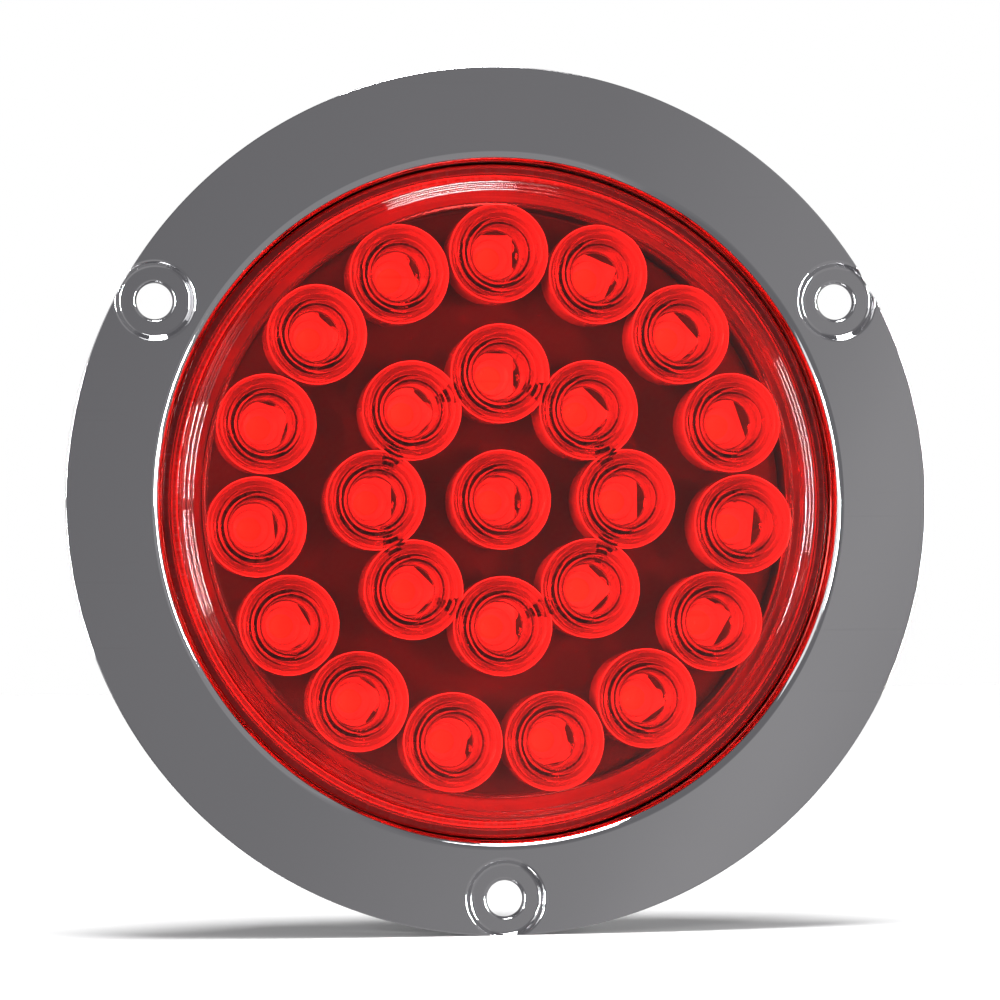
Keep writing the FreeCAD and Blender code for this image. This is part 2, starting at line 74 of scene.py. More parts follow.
def mount(name):
    """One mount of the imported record."""
    return next(m for m in frame["record"]["mounts"] if m["name"] == name)


# ---------------------------------------------------------------- places taken from the frame
FLANGE_RADIUS = corner("flange", True).x
FLANGE_FRONT = corner("flange").y
LEDGE_BACK = corner("flange", True).y
SHEET = corner("mount_gasket").y - FLANGE_FRONT
FLANGE_BACK = FLANGE_FRONT + SHEET
LENS_FRONT = corner("lens_cover").y
BRIM_RADIUS = corner("lens_cover", True).x
SKIRT_END = corner("lens_cover", True).y
BRIM_BACK = corner("housing").y
FIT = 0.3
OPENING = BRIM_RADIUS + FIT
COLLAR = OPENING + SHEET
LEDGE_FRONT = LEDGE_BACK - SHEET
LEDGE_RADIUS = corner("optic_carrier", True).x + 3.0
OPTIC_FRONT = corner("optic_centre").y
OPTIC_END = corner("optic_centre", True).y
OPTIC_RADIUS = corner("optic_centre", True).x
OUTER_RING = corner("optics_outer", True).z - OPTIC_RADIUS
INNER_RING = corner("optics_inner", True).z - OPTIC_RADIUS
BOARD_BACK = corner("led_board", True).y
FLOOR_BACK = corner("potting").y
POTTING_BACK = corner("potting", True).y
POTTING_RADIUS = corner("potting", True).x
HOUSING_BACK = corner("housing", True).y
SOCKET_FRONT = corner("socket_shell").y
SOCKET_BACK = corner("socket_shell", True).y
SOCKET_SLIDE = corner("socket_shell", True).x - corner("socket_shell", True).z
PIN_SPACING = (corner("terminal_pins", True).x - corner("terminal_pins").x) / 2
PIN_RADIUS = corner("terminal_pins", True).z
VENT_PLACE = (corner("vent_plug").z + corner("vent_plug", True).z) / 2
VENT_RADIUS = corner("vent_plug", True).x
HOLES = mount("flange_holes")["dims"]
HOLE_COUNT = HOLES["count"]
HOLE_CIRCLE = HOLES["pcd_mm"] / 2
HOLE_RADIUS = HOLES["hole_r_mm"]

# ---------------------------------------------------------------- sizes that no box gives
DISH_RADIUS = 6.35
DISH_RUN = 0.75
BEND_RADIUS = 1.5
SHOULDER = BRIM_RADIUS - 2.8
CAVITY = 48.0
RIDGE_RISE = 0.6
DOME_RADIUS = 4.35
TOOTH_DEPTH = 0.35
CLIP_GROOVE = (49.4, 50.2)
CLIP_DEPTHS = (LEDGE_BACK, LEDGE_BACK + 1.2)
SOCKET_HOLE = 10.05
CAN_INSIDE = 18.0
CLEAR_PLASTIC_IOR = 1.49
HARD_EDGE = 38
FINE = 384

# lamps round the front: name, place in metres, size in metres, power in watts
SOFTBOXES = (
    ("left_box", (-0.75, -0.62, -0.14), (0.11, 0.3), 11.0),
    ("left_panel", (-1.0, -0.35, 0.1), (1.3, 1.3), 5.5),
    ("right_box", (0.75, -0.6, 0.12), (0.09, 0.4), 9.0),
    ("left_kick", (-0.5, -0.86, 0.14), (0.06, 0.2), 6.0),
    ("right_kick", (0.56, -0.82, -0.06), (0.06, 0.2), 6.0),
    ("top_box", (0.1, -0.7, 0.8), (0.4, 0.12), 1.2))

# grey of the surround from its dark to its light end, as shares of its brightness
SURROUND_SHARES = ((0.0, 0.72), (0.42, 0.88), (0.66, 1.12), (0.76, 1.4), (0.87, 1.18), (1.0, 1.25))


# ---------------------------------------------------------------- settings
class TailLightMetal(bpy.types.PropertyGroup):
    """Sizes and colours of the pressed flange and its clip."""
    dish_fillet: bpy.props.FloatProperty(
        name="Dish rounding", description="Rounding at the rim and floor of each screw dish",
        default=0.00042, min=0.0001, max=0.0006, unit="LENGTH")
    edge_break: bpy.props.FloatProperty(
        name="Edge break", description="Rounding of the cut outer edge",
        default=0.00012, min=0.00005, max=0.0004, unit="LENGTH")
    tone: bpy.props.FloatVectorProperty(
        name="Plating", description="Colour that the bright plating reflects",
        default=(0.64, 0.64, 0.655), min=0, max=1, subtype="COLOR")
    steel: bpy.props.FloatVectorProperty(
        name="Clip steel", description="Colour of the spring clip",
        default=(0.5, 0.5, 0.52), min=0, max=1, subtype="COLOR")


class TailLightCover(bpy.types.PropertyGroup):
    """Sizes and colour of the red cover."""
    teeth: bpy.props.IntProperty(
        name="Teeth", description="Number of fine teeth round the shoulder",
        default=360, min=90, max=420)
    tooth_depth: bpy.props.FloatProperty(
        name="Tooth depth", description="Depth of the fine teeth",
        default=0.0001, min=0, max=0.0004, unit="LENGTH")
    ridges: bpy.props.IntProperty(
        name="Ridges", description="Rounded steps down the shoulder", default=3, min=1, max=5)
    red: bpy.props.FloatVectorProperty(
        name="Cover red", description="Colour that the clear cover lets through",
        default=(0.935, 0.09, 0.075), min=0, max=1, subtype="COLOR")


class TailLightOptics(bpy.types.PropertyGroup):
    """Counts and colours of the barrels and of the emitters behind them."""
    outer_count: bpy.props.IntProperty(
        name="Outer barrels", description="Barrels in the outer ring", default=15, min=3, max=24)
    inner_count: bpy.props.IntProperty(
        name="Inner barrels", description="Barrels in the inner ring", default=8, min=3, max=12)
    rings: bpy.props.IntProperty(
        name="Front steps", description="Stepped rings on each barrel's front face",
        default=5, min=1, max=9)
    # Painted reflection: this colour is painted on the inside of the barrel walls in place of the
    # light they reflect.
    wall: bpy.props.FloatVectorProperty(
        name="Barrel wall", description="Brightness that the barrel walls throw back",
        default=(0.84, 0.84, 0.83), min=0, max=1, subtype="COLOR")
    glow: bpy.props.FloatVectorProperty(
        name="Emitter fill", description="Colour of the yellow fill over each emitter",
        default=(0.9, 0.78, 0.4), min=0, max=1, subtype="COLOR")


class TailLightBody(bpy.types.PropertyGroup):
    """Colours of the can, rubber, foam and board."""
    case: bpy.props.FloatVectorProperty(
        name="Can", description="Colour of the grey can",
        default=(0.1, 0.1, 0.102), min=0, max=1, subtype="COLOR")
    rubber: bpy.props.FloatVectorProperty(
        name="Rubber", description="Colour of the seals",
        default=(0.035, 0.035, 0.036), min=0, max=1, subtype="COLOR")
    foam: bpy.props.FloatVectorProperty(
        name="Foam", description="Colour of the foam ring",
        default=(0.05, 0.05, 0.052), min=0, max=1, subtype="COLOR")
    mask: bpy.props.FloatVectorProperty(
        name="Board", description="Colour of the board's solder mask",
        default=(0.02, 0.13, 0.055), min=0, max=1, subtype="COLOR")


class TailLightStage(bpy.types.PropertyGroup):
    """Camera, surround and lights."""
    distance: bpy.props.FloatProperty(
        name="Camera distance", description="From the camera to the lamp's centre",
        default=0.74, min=0.3, max=3, unit="LENGTH")
    azimuth: bpy.props.FloatProperty(
        name="Camera azimuth", description="Turn of the camera round the lamp",
        default=math.radians(-8.5), subtype="ANGLE")
    elevation: bpy.props.FloatProperty(
        name="Camera elevation", description="Height angle of the camera",
        default=math.radians(-2.0), subtype="ANGLE")
    roll: bpy.props.FloatProperty(
        name="Camera roll", description="Turn of the camera about its own axis",
        default=math.radians(-0.6), subtype="ANGLE")
    lens: bpy.props.FloatProperty(
        name="Focal length", description="Camera focal length in millimetres", default=165.4)
    surround: bpy.props.FloatProperty(
        name="Surround", description="Brightness of the grey surround", default=0.27, min=0, max=2)
    sky: bpy.props.FloatProperty(
        name="Overhead light", description="Strength of the wide overhead light",
        default=5.0, min=0, max=20)


SETTINGS = {"metal": TailLightMetal, "cover": TailLightCover, "optics": TailLightOptics,
            "body": TailLightBody, "stage": TailLightStage}


def setting(context, group):
    """One of the settings groups, kept on the scene."""
    return getattr(context.scene, "tail_light_" + group)


# ---------------------------------------------------------------- outlines and meshes
def rounded(corners, steps=5, support=0.12, closed=False):
    """Outline points from (radius, depth, fillet) corners, with a point just before and after
    each fillet so that the flats beside it shade flat."""
    points = []
    count = len(corners)
    for i, (x, y, fillet) in enumerate(corners):
        here = Vector((x, y))
        if fillet <= 0 or (not closed and i in (0, count - 1)):
            points.append((x, y))
            continue
        before, after = (Vector(corners[(i + d) % count][:2]) - here for d in (-1, 1))
        reach = [before.length, after.length]
        before.normalize()
        after.normalize()
        half = before.angle(after) / 2
        if half > math.radians(89.5):
            points.append((x, y))
            continue
        sharp = [corners[(i + d) % count][2] <= 0 for d in (-1, 1)]
        room = min(length * (0.99 if alone else 0.48) for length, alone in zip(reach, sharp))
        run = min(fillet / math.tan(half), room)
        fillet = run * math.tan(half)
        middle = here + (before + after).normalized() * (fillet / math.sin(half))
        if run + support < 0.5 * reach[0]:
            points.append(tuple(here + before * (run + support)))
        start, end = here + before * run - middle, here + after * run - middle
        turn = start.angle_signed(end)
        for k in range(steps + 1):
            arm = Matrix.Rotation(-turn * k / steps, 2) @ start
            points.append(tuple(middle + arm))
        if run + support < 0.5 * reach[1]:
            points.append(tuple(here + after * (run + support)))
    return points


def circle(radius, count, centre=(0.0, 0.0)):
    """Loop of (x, z) points, starting at the top."""
    return [(centre[0] + radius * math.sin(FULL_TURN * k / count),
             centre[1] + radius * math.cos(FULL_TURN * k / count)) for k in range(count)]


def circle_of(radii):
    """Loop of (x, z) points at the given radii, evenly spread round the axis."""
    step = FULL_TURN / len(radii)
    return [(r * math.sin(k * step), r * math.cos(k * step)) for k, r in enumerate(radii)]


def slot_loop(radius, slide, count):
    """Long rounded loop of (x, z) points: two half circles a slide each side of the centre."""
    half = count // 2
    return [(side * (slide + radius * math.sin(math.pi * k / half)),
             side * radius * math.cos(math.pi * k / half))
            for side in (1, -1) for k in range(half + 1)]


def loft(loops, depths, closed=False):
    """Vertices and faces between loops of (x, z) points; a loop of one point is a pole."""
    verts, rows, faces, kinds = [], [], [], []
    for loop, depth in zip(loops, depths):
        rows.append(range(len(verts), len(verts) + len(loop)))
        verts += [(x, depth, z) for x, z in loop]
    pairs = list(zip(rows, rows[1:])) + ([(rows[-1], rows[0])] if closed else [])
    for band, (a, b) in enumerate(pairs):
        size = max(len(a), len(b))
        for k in range(size if size > 1 else 0):
            n = (k + 1) % size
            if len(a) == 1:
                face = (a[0], b[n], b[k])
            elif len(b) == 1:
                face = (a[k], a[n], b[0])
            else:
                face = (a[k], a[n], b[n], b[k])
            faces.append(face)
            kinds.append(band)
    return verts, faces, kinds


def turned(outline, count, closed=False, centre=(0.0, 0.0), ripple=None):
    """Loft of an outline turned round an axis along Y through centre."""
    loops = []
    for radius, depth in outline:
        if radius < 1e-6:
            loops.append([centre])
        elif ripple:
            loops.append(ripple(radius, depth, count))
        else:
            loops.append(circle(radius, count, centre))
    return loft(loops, [depth for _, depth in outline], closed)


def flat_sheet(loops, keep, front, back, joined=None):
    """Closed sheet over a flat layout. loops are (x, z) loops, keep says which triangles stay,
    front and back give the depth at points, joined marks edges that another part closes."""
    points, edges = [], []
    for loop in loops:
        first = len(points)
        points += [Vector(p) for p in loop]
        edges += [(first + i, first + (i + 1) % len(loop)) for i in range(len(loop))]
    flat, _, faces = delaunay_2d_cdt(points, edges, [], 0, 1e-5)[:3]
    flat = np.array([tuple(p) for p in flat])
    faces = np.array(faces)
    middle = flat[faces].mean(axis=1)
    faces = faces[keep(middle[:, 0], middle[:, 1])]
    x, z = flat[:, 0], flat[:, 1]
    verts = [(a, d, b) for a, d, b in zip(x, front(x, z), z)]
    verts += [(a, d, b) for a, d, b in zip(x, back(x, z), z)]
    size = len(x)
    made = [tuple(f) for f in faces] + [tuple(int(i) + size for i in f[::-1]) for f in faces]
    seen = {}
    for f in faces:
        for i in range(3):
            edge = (int(f[i]), int(f[(i + 1) % 3]))
            seen[tuple(sorted(edge))] = None if tuple(sorted(edge)) in seen else edge
    skip = joined(x, z) if joined else np.zeros(size, bool)
    for edge in seen.values():
        if edge and not (skip[edge[0]] and skip[edge[1]]):
            made.append((edge[1], edge[0], edge[0] + size, edge[1] + size))
    return verts, [tuple(int(i) for i in f) for f in made], [0] * len(made)


def merged(*parts):
    """Several (vertices, faces, kinds) as one."""
    verts, faces, kinds = [], [], []
    for part_verts, part_faces, part_kinds in parts:
        start = len(verts)
        verts += part_verts
        faces += [tuple(i + start for i in f) for f in part_faces]
        kinds += part_kinds
    return verts, faces, kinds


def mesh_of(name, part, finish_of=None, sharp=HARD_EDGE, weld=2e-6, outward=True):
    """Mesh in metres with doubles merged, normals outwards and hard edges marked."""
    verts, faces, kinds = part
    mesh = bpy.data.meshes.new(name)
    mesh.from_pydata([(x * MM, y * MM, z * MM) for x, y, z in verts], [], faces)
    if finish_of:
        mesh.polygons.foreach_set("material_index", [finish_of(k) for k in kinds])
    work = bmesh.new()
    work.from_mesh(mesh)
    bmesh.ops.delete(work, geom=[v for v in work.verts if not v.link_faces], context="VERTS")
    bmesh.ops.remove_doubles(work, verts=work.verts, dist=weld)
    bmesh.ops.dissolve_degenerate(work, edges=work.edges, dist=1e-7)
    if outward:
        bmesh.ops.recalc_face_normals(work, faces=work.faces)
    work.to_mesh(mesh)
    work.free()
    mesh.shade_smooth()
    mesh.set_sharp_from_angle(angle=math.radians(sharp))
    return mesh


def place(name, mesh, finishes, stands_for, slot):
    """Object for a finished mesh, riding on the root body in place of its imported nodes."""
    piece = bpy.data.objects.new(name, mesh)
    bpy.context.scene.collection.objects.link(piece)
    if not mesh.materials:
        for finish in finishes:
            mesh.materials.append(finish)
    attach(piece, "root")
    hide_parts(*stands_for)
    return piece


# ---------------------------------------------------------------- repeated parts
def ring_tree():
    """Node tree that sets copies of its input round the lamp axis."""
    tree = bpy.data.node_groups.get("ring_of_parts")
    if tree:
        return tree
    tree = bpy.data.node_groups.new("ring_of_parts", "GeometryNodeTree")
    face = tree.interface
    face.new_socket("Geometry", in_out="INPUT", socket_type="NodeSocketGeometry")
    for name, kind in (("Count", "NodeSocketInt"), ("Ring Radius", "NodeSocketFloat"),
                       ("Start Angle", "NodeSocketFloat"), ("Weld", "NodeSocketFloat"),
                       ("Finish 1", "NodeSocketMaterial"), ("Finish 2", "NodeSocketMaterial"),
                       ("Finish 3", "NodeSocketMaterial")):
        face.new_socket(name, in_out="INPUT", socket_type=kind)
    face.new_socket("Geometry", in_out="OUTPUT", socket_type="NodeSocketGeometry")

    def node(kind, **values):
        made = tree.nodes.new(kind)
        for key, value in values.items():
            setattr(made, key, value)
        return made

    given, out = node("NodeGroupInput"), node("NodeGroupOutput")
    link = tree.links.new
    offset = node("ShaderNodeCombineXYZ")
    link(given.outputs["Ring Radius"], offset.inputs["Z"])
    shifted = node("GeometryNodeTransform")
    link(given.outputs["Geometry"], shifted.inputs["Geometry"])
    link(offset.outputs[0], shifted.inputs["Translation"])
    points = node("GeometryNodePoints")
    link(given.outputs["Count"], points.inputs["Count"])
    step = node("ShaderNodeMath", operation="DIVIDE")
    step.inputs[0].default_value = FULL_TURN
    link(given.outputs["Count"], step.inputs[1])
    angle = node("ShaderNodeMath", operation="MULTIPLY_ADD")
    link(node("GeometryNodeInputIndex").outputs[0], angle.inputs[0])
    link(step.outputs[0], angle.inputs[1])
    link(given.outputs["Start Angle"], angle.inputs[2])
    euler = node("ShaderNodeCombineXYZ")
    link(angle.outputs[0], euler.inputs["Y"])
    turn = node("FunctionNodeEulerToRotation")
    link(euler.outputs[0], turn.inputs[0])
    copies = node("GeometryNodeInstanceOnPoints")
    link(points.outputs[0], copies.inputs["Points"])
    link(shifted.outputs[0], copies.inputs["Instance"])
    link(turn.outputs[0], copies.inputs["Rotation"])
    real = node("GeometryNodeRealizeInstances")
    link(copies.outputs[0], real.inputs[0])
    weld = node("GeometryNodeMergeByDistance")
    link(real.outputs[0], weld.inputs["Geometry"])
    link(given.outputs["Weld"], weld.inputs["Distance"])
    index = node("GeometryNodeInputMaterialIndex")
    last = weld.outputs[0]
    for number in range(3):
        chosen = node("FunctionNodeCompare", data_type="INT", operation="EQUAL")
        link(index.outputs[0], chosen.inputs[2])
        chosen.inputs[3].default_value = number
        finish = node("GeometryNodeSetMaterial")
        link(last, finish.inputs["Geometry"])
        link(chosen.outputs[0], finish.inputs["Selection"])
        link(given.outputs[f"Finish {number + 1}"], finish.inputs["Material"])
        last = finish.outputs[0]
    link(last, out.inputs[0])
    return tree


def ring_of(name, source, count, radius, finishes, start=0.0, weld=1e-7, sharp=HARD_EDGE):
    """Plain mesh of a source mesh repeated round the lamp axis; lengths in millimetres."""
    source = source.copy()
    for finish in finishes:
        source.materials.append(finish)
    holder = bpy.data.objects.new(name + "_maker", source)
    bpy.context.scene.collection.objects.link(holder)
    modifier = holder.modifiers.new("ring", "NODES")
    modifier.node_group = ring_tree()
    values = {"Count": count, "Ring Radius": radius * MM, "Start Angle": start, "Weld": weld}
    for number in range(3):
        values[f"Finish {number + 1}"] = finishes[min(number, len(finishes) - 1)]
    for item in modifier.node_group.interface.items_tree:
        if item.in_out == "INPUT" and item.name in values:
            modifier[item.identifier] = values[item.name]
    shown = holder.evaluated_get(bpy.context.evaluated_depsgraph_get())
    mesh = bpy.data.meshes.new_from_object(shown)
    mesh.name = name
    holder.modifiers.clear()
    bpy.data.objects.remove(holder)
    mesh.shade_smooth()
    mesh.set_sharp_from_angle(angle=math.radians(sharp))
    return mesh


def joined(name, meshes):
    """One mesh out of several that share their list of finishes."""
    work = bmesh.new()
    for mesh in meshes:
        work.from_mesh(mesh)
    made = bpy.data.meshes.new(name)
    work.to_mesh(made)
    work.free()
    for finish in meshes[0].materials:
        made.materials.append(finish)
    return made


# ---------------------------------------------------------------- shader groups
def shader_group(name, inputs, outputs, build):
    """Node group made once; build(tree, given, out) lays out its nodes."""
    tree = bpy.data.node_groups.get(name)
    if tree is None:
        tree = bpy.data.node_groups.new(name, "ShaderNodeTree")
        for label, value in inputs:
            kind = "NodeSocketColor" if isinstance(value, tuple) else "NodeSocketFloat"
            socket = tree.interface.new_socket(label, in_out="INPUT", socket_type=kind)
            socket.default_value = value
        for label in outputs:
            kind = "NodeSocketColor" if label == "Color" else "NodeSocketFloat"
            tree.interface.new_socket(label, in_out="OUTPUT", socket_type=kind)
        build(tree, tree.nodes.new("NodeGroupInput"), tree.nodes.new("NodeGroupOutput"))
    return tree


def add(tree, kind, links=(), **values):
    """Node with attributes, numbered inputs (in_0=...) and links into it."""
    made = tree.nodes.new(kind)
    for key, value in values.items():
        if key.startswith("in_"):
            made.inputs[int(key[3:])].default_value = value
        else:
            setattr(made, key, value)
    for target, source in links:
        tree.links.new(source, made.inputs[target])
    return made


def build_grain(tree, given, out):
    """Fine moulded or sanded grain: a noise and a cell pattern."""
    where = add(tree, "ShaderNodeTexCoord").outputs["Object"]
    coarse = add(tree, "ShaderNodeTexNoise", [("Vector", where), ("Scale", given.outputs["Scale"])],
                 in_3=3.0)
    cells = add(tree, "ShaderNodeTexVoronoi",
                [("Vector", where), ("Scale", given.outputs["Scale"])])
    mix = add(tree, "ShaderNodeMath", [(0, cells.outputs["Distance"]), (2, coarse.outputs[0])],
              operation="MULTIPLY_ADD", in_1=0.6)
    height = add(tree, "ShaderNodeMath", [(0, mix.outputs[0]), (1, given.outputs["Depth"])],
                 operation="MULTIPLY")
    tree.links.new(height.outputs[0], out.inputs["Height"])
    tree.links.new(coarse.outputs[0], out.inputs["Mask"])


def build_marks(tree, given, out):
    """Handling marks: soft clouds and thin crossed scratches."""
    where = add(tree, "ShaderNodeTexCoord").outputs["Object"]
    clouds = add(tree, "ShaderNodeTexNoise", [("Vector", where), ("Scale", given.outputs["Scale"])],
                 in_3=4.0)
    total = clouds.outputs[0]
    for turn in ((0.3, 0.5, 0.4), (1.1, 2.0, 1.7)):
        lie = add(tree, "ShaderNodeMapping", [("Vector", where)], in_2=turn, in_3=(1.0, 30.0, 30.0))
        lines = add(tree, "ShaderNodeTexNoise",
                    [("Vector", lie.outputs[0]), ("Scale", given.outputs["Scale"])], in_3=2.0)
        thin = add(tree, "ShaderNodeMapRange", [("Value", lines.outputs[0])],
                   in_1=0.68, in_2=0.76, in_3=0.0, in_4=0.5)
        total = add(tree, "ShaderNodeMath", [(0, total), (1, thin.outputs[0])],
                    operation="ADD").outputs[0]
    amount = add(tree, "ShaderNodeMath", [(0, total), (1, given.outputs["Amount"])],
                 operation="MULTIPLY")
    tree.links.new(amount.outputs[0], out.inputs["Mask"])


def build_blend(tree, given, out):
    """Colour drifting between two tones with a mask."""
    mix = add(tree, "ShaderNodeMix", data_type="RGBA")
    tree.links.new(given.outputs["Mask"], mix.inputs[0])
    tree.links.new(given.outputs["Light tone"], mix.inputs[6])
    tree.links.new(given.outputs["Dark tone"], mix.inputs[7])
    tree.links.new(mix.outputs[2], out.inputs["Color"])


def grain_group():
    return shader_group("surface_grain", [("Scale", 900.0), ("Depth", 1.0)],
                        ["Height", "Mask"], build_grain)


def marks_group():
    return shader_group("handling_marks", [("Scale", 40.0), ("Amount", 1.0)], ["Mask"], build_marks)


def tones_group():
    return shader_group("two_tones", [("Mask", 0.5), ("Light tone", (1, 1, 1, 1)),
                                      ("Dark tone", (0, 0, 0, 1))], ["Color"], build_blend)


def shade(colour, factor):
    """A colour made lighter or darker, with alpha."""
    return tuple(min(1.0, c * factor) for c in colour[:3]) + (1.0,)


def start_finish(name):
    """New material with only its Principled shader and output."""
    finish = bpy.data.materials.new(name)
    finish.use_nodes = True
    tree = finish.node_tree
    tree.nodes.clear()
    surface = tree.nodes.new("ShaderNodeBsdfPrincipled")
    out = tree.nodes.new("ShaderNodeOutputMaterial")
    tree.links.new(surface.outputs[0], out.inputs["Surface"])
    return finish, tree, surface, out


def group_node(tree, group, **values):
    """Shader group node with values for its named inputs (spaces written as _)."""
    made = add(tree, "ShaderNodeGroup", node_tree=group)
    for key, value in values.items():
        made.inputs[key.replace("_", " ")].default_value = value
    return made


def texture_finish(tree, surface, tone, rough, grain, depth, marks=40.0, wear=1.0, spread=0.75,
                   bump=0.4):
    """Colour, roughness and grain that change over the surface, on a Principled shader."""
    grains = group_node(tree, grain_group(), Scale=grain, Depth=1.0)
    handled = group_node(tree, marks_group(), Scale=marks, Amount=wear)
    tones = group_node(tree, tones_group(), Light_tone=shade(tone, 1.0 / spread),
                       Dark_tone=shade(tone, spread))
    tree.links.new(handled.outputs["Mask"], tones.inputs["Mask"])
    tree.links.new(tones.outputs["Color"], surface.inputs["Base Color"])
    range_ = add(tree, "ShaderNodeMapRange", [("Value", handled.outputs["Mask"])],
                 in_1=0.3, in_2=0.9, in_3=rough[0], in_4=rough[1])
    tree.links.new(range_.outputs[0], surface.inputs["Roughness"])
    if depth:
        raised = add(tree, "ShaderNodeBump", [("Height", grains.outputs["Height"])])
        raised.inputs["Strength"].default_value = bump
        raised.inputs["Distance"].default_value = depth * MM
        tree.links.new(raised.outputs[0], surface.inputs["Normal"])


def make_solid(name, tone, rough, grain=900.0, depth=0.02, metallic=0.0, **more):
    """Plastic, rubber or metal finish."""
    finish, tree, surface, _ = start_finish(name)
    surface.inputs["Metallic"].default_value = metallic
    texture_finish(tree, surface, tone, rough, grain, depth, **more)
    return finish


def make_chrome(name, tone):
    """Bright plating with faint long waves and fine handling marks."""
    finish, tree, surface, _ = start_finish(name)
    surface.inputs["Metallic"].default_value = 1.0
    texture_finish(tree, surface, tone, (0.035, 0.09), 1500.0, 0, marks=30.0, wear=0.9,
                   spread=0.975)
    where = add(tree, "ShaderNodeTexCoord").outputs["Object"]
    waves = add(tree, "ShaderNodeTexNoise", [("Vector", where)], in_2=28.0, in_3=2.0)
    raised = add(tree, "ShaderNodeBump", [("Height", waves.outputs[0])])
    raised.inputs["Strength"].default_value = 0.35
    raised.inputs["Distance"].default_value = 0.05 * MM
    tree.links.new(raised.outputs[0], surface.inputs["Normal"])
    return finish


def let_light_in(tree, surface, out, tint):
    """Lets light from the lamps through glass, tinted."""
    path = tree.nodes.new("ShaderNodeLightPath")
    through = tree.nodes.new("ShaderNodeBsdfTransparent")
    through.inputs[0].default_value = (*tint[:3], 1.0)
    mix = tree.nodes.new("ShaderNodeMixShader")
    tree.links.new(path.outputs["Is Shadow Ray"], mix.inputs[0])
    tree.links.new(surface.outputs[0], mix.inputs[1])
    tree.links.new(through.outputs[0], mix.inputs[2])
    tree.links.new(mix.outputs[0], out.inputs["Surface"])


def make_clear(name, tone, rough, marks, ior=CLEAR_PLASTIC_IOR, gloss=0.5):
    """Clear or tinted plastic that lets lamps light what is behind it."""
    finish, tree, surface, out = start_finish(name)
    surface.inputs["Transmission Weight"].default_value = 1.0
    surface.inputs["Specular IOR Level"].default_value = gloss
    surface.inputs["IOR"].default_value = ior
    surface.inputs["Base Color"].default_value = (*tone[:3], 1.0)
    handled = group_node(tree, marks_group(), Scale=marks, Amount=1.0)
    range_ = add(tree, "ShaderNodeMapRange", [("Value", handled.outputs["Mask"])],
                 in_1=0.35, in_2=0.95, in_3=rough[0], in_4=rough[1])
    tree.links.new(range_.outputs[0], surface.inputs["Roughness"])
    let_light_in(tree, surface, out, [math.sqrt(c) for c in tone[:3]])
    return finish


def make_barrel_clear(name, tone):
    """Clear barrel plastic with painted shade: its tint is darker at the bottom of the stepped rings'
    grooves.
    """
    finish = make_clear(name, tone, (0.01, 0.05), 90.0)
    tree = finish.node_tree
    surface = next(n for n in tree.nodes if n.type == "BSDF_PRINCIPLED")
    # Painted shade: the groove value darkens the clear tint towards the bottom of each groove.
    groove = add(tree, "ShaderNodeAttribute", attribute_name="groove")
    tones = group_node(tree, tones_group(), Light_tone=shade(tone, 1.0),
                       Dark_tone=(0.55, 0.55, 0.55, 1))
    tree.links.new(groove.outputs["Fac"], tones.inputs["Mask"])
    tree.links.new(tones.outputs["Color"], surface.inputs["Base Color"])
    return finish


def make_barrel_wall(name, tone):
    """Barrel wall with painted reflection: its inside face is a bright white-metal surface standing
    in for the light the clear wall throws back, and its outside is a dim mottled grey.
    """
    finish, tree, surface, out = start_finish(name)
    texture_finish(tree, surface, tone, (0.07, 0.16), 500.0, 0.03, marks=220.0, wear=1.0,
                   spread=0.85)
    surface.inputs["Metallic"].default_value = 0.45
    outside = tree.nodes.new("ShaderNodeBsdfPrincipled")
    outside.inputs["Roughness"].default_value = 0.12
    tones = group_node(tree, tones_group(), Light_tone=(0.75, 0.75, 0.75, 1),
                       Dark_tone=(0.2, 0.2, 0.2, 1))
    streaks = group_node(tree, marks_group(), Scale=160.0, Amount=1.0)
    tree.links.new(streaks.outputs["Mask"], tones.inputs["Mask"])
    tree.links.new(tones.outputs["Color"], outside.inputs["Base Color"])
    # Painted reflection: faces seen from inside the barrel get the bright surface, faces seen from
    # outside the dim one.
    side = tree.nodes.new("ShaderNodeNewGeometry")
    mix = tree.nodes.new("ShaderNodeMixShader")
    tree.links.new(side.outputs["Backfacing"], mix.inputs[0])
    tree.links.new(outside.outputs[0], mix.inputs[1])
    tree.links.new(surface.outputs[0], mix.inputs[2])
    tree.links.new(mix.outputs[0], out.inputs["Surface"])
    return finish


def repaint(node, finish):
    """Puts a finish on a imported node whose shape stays."""
    piece = frame["nodes"][node]
    if not piece.data.materials:
        piece.data.materials.append(finish)
    for holder in piece.material_slots:
        holder.material = finish


# ---------------------------------------------------------------- flange
def hole_places(circle_radius=HOLE_CIRCLE):
    """Centres of the screw dishes: one at the bottom, the others a third of a turn away."""
    return [(circle_radius * math.sin(math.pi + FULL_TURN * k / HOLE_COUNT),
             circle_radius * math.cos(math.pi + FULL_TURN * k / HOLE_COUNT))
            for k in range(HOLE_COUNT)]


def from_holes(x, z):
    """Distance of points from the nearest screw hole's centre."""
    return np.min([np.hypot(x - a, z - b) for a, b in hole_places()], axis=0)


def thinned(values, gap=0.035):
    """Sorted values with near neighbours dropped."""
    kept = []
    for value in sorted(values):
        if not kept or value - kept[-1] > gap:
            kept.append(value)
    return kept


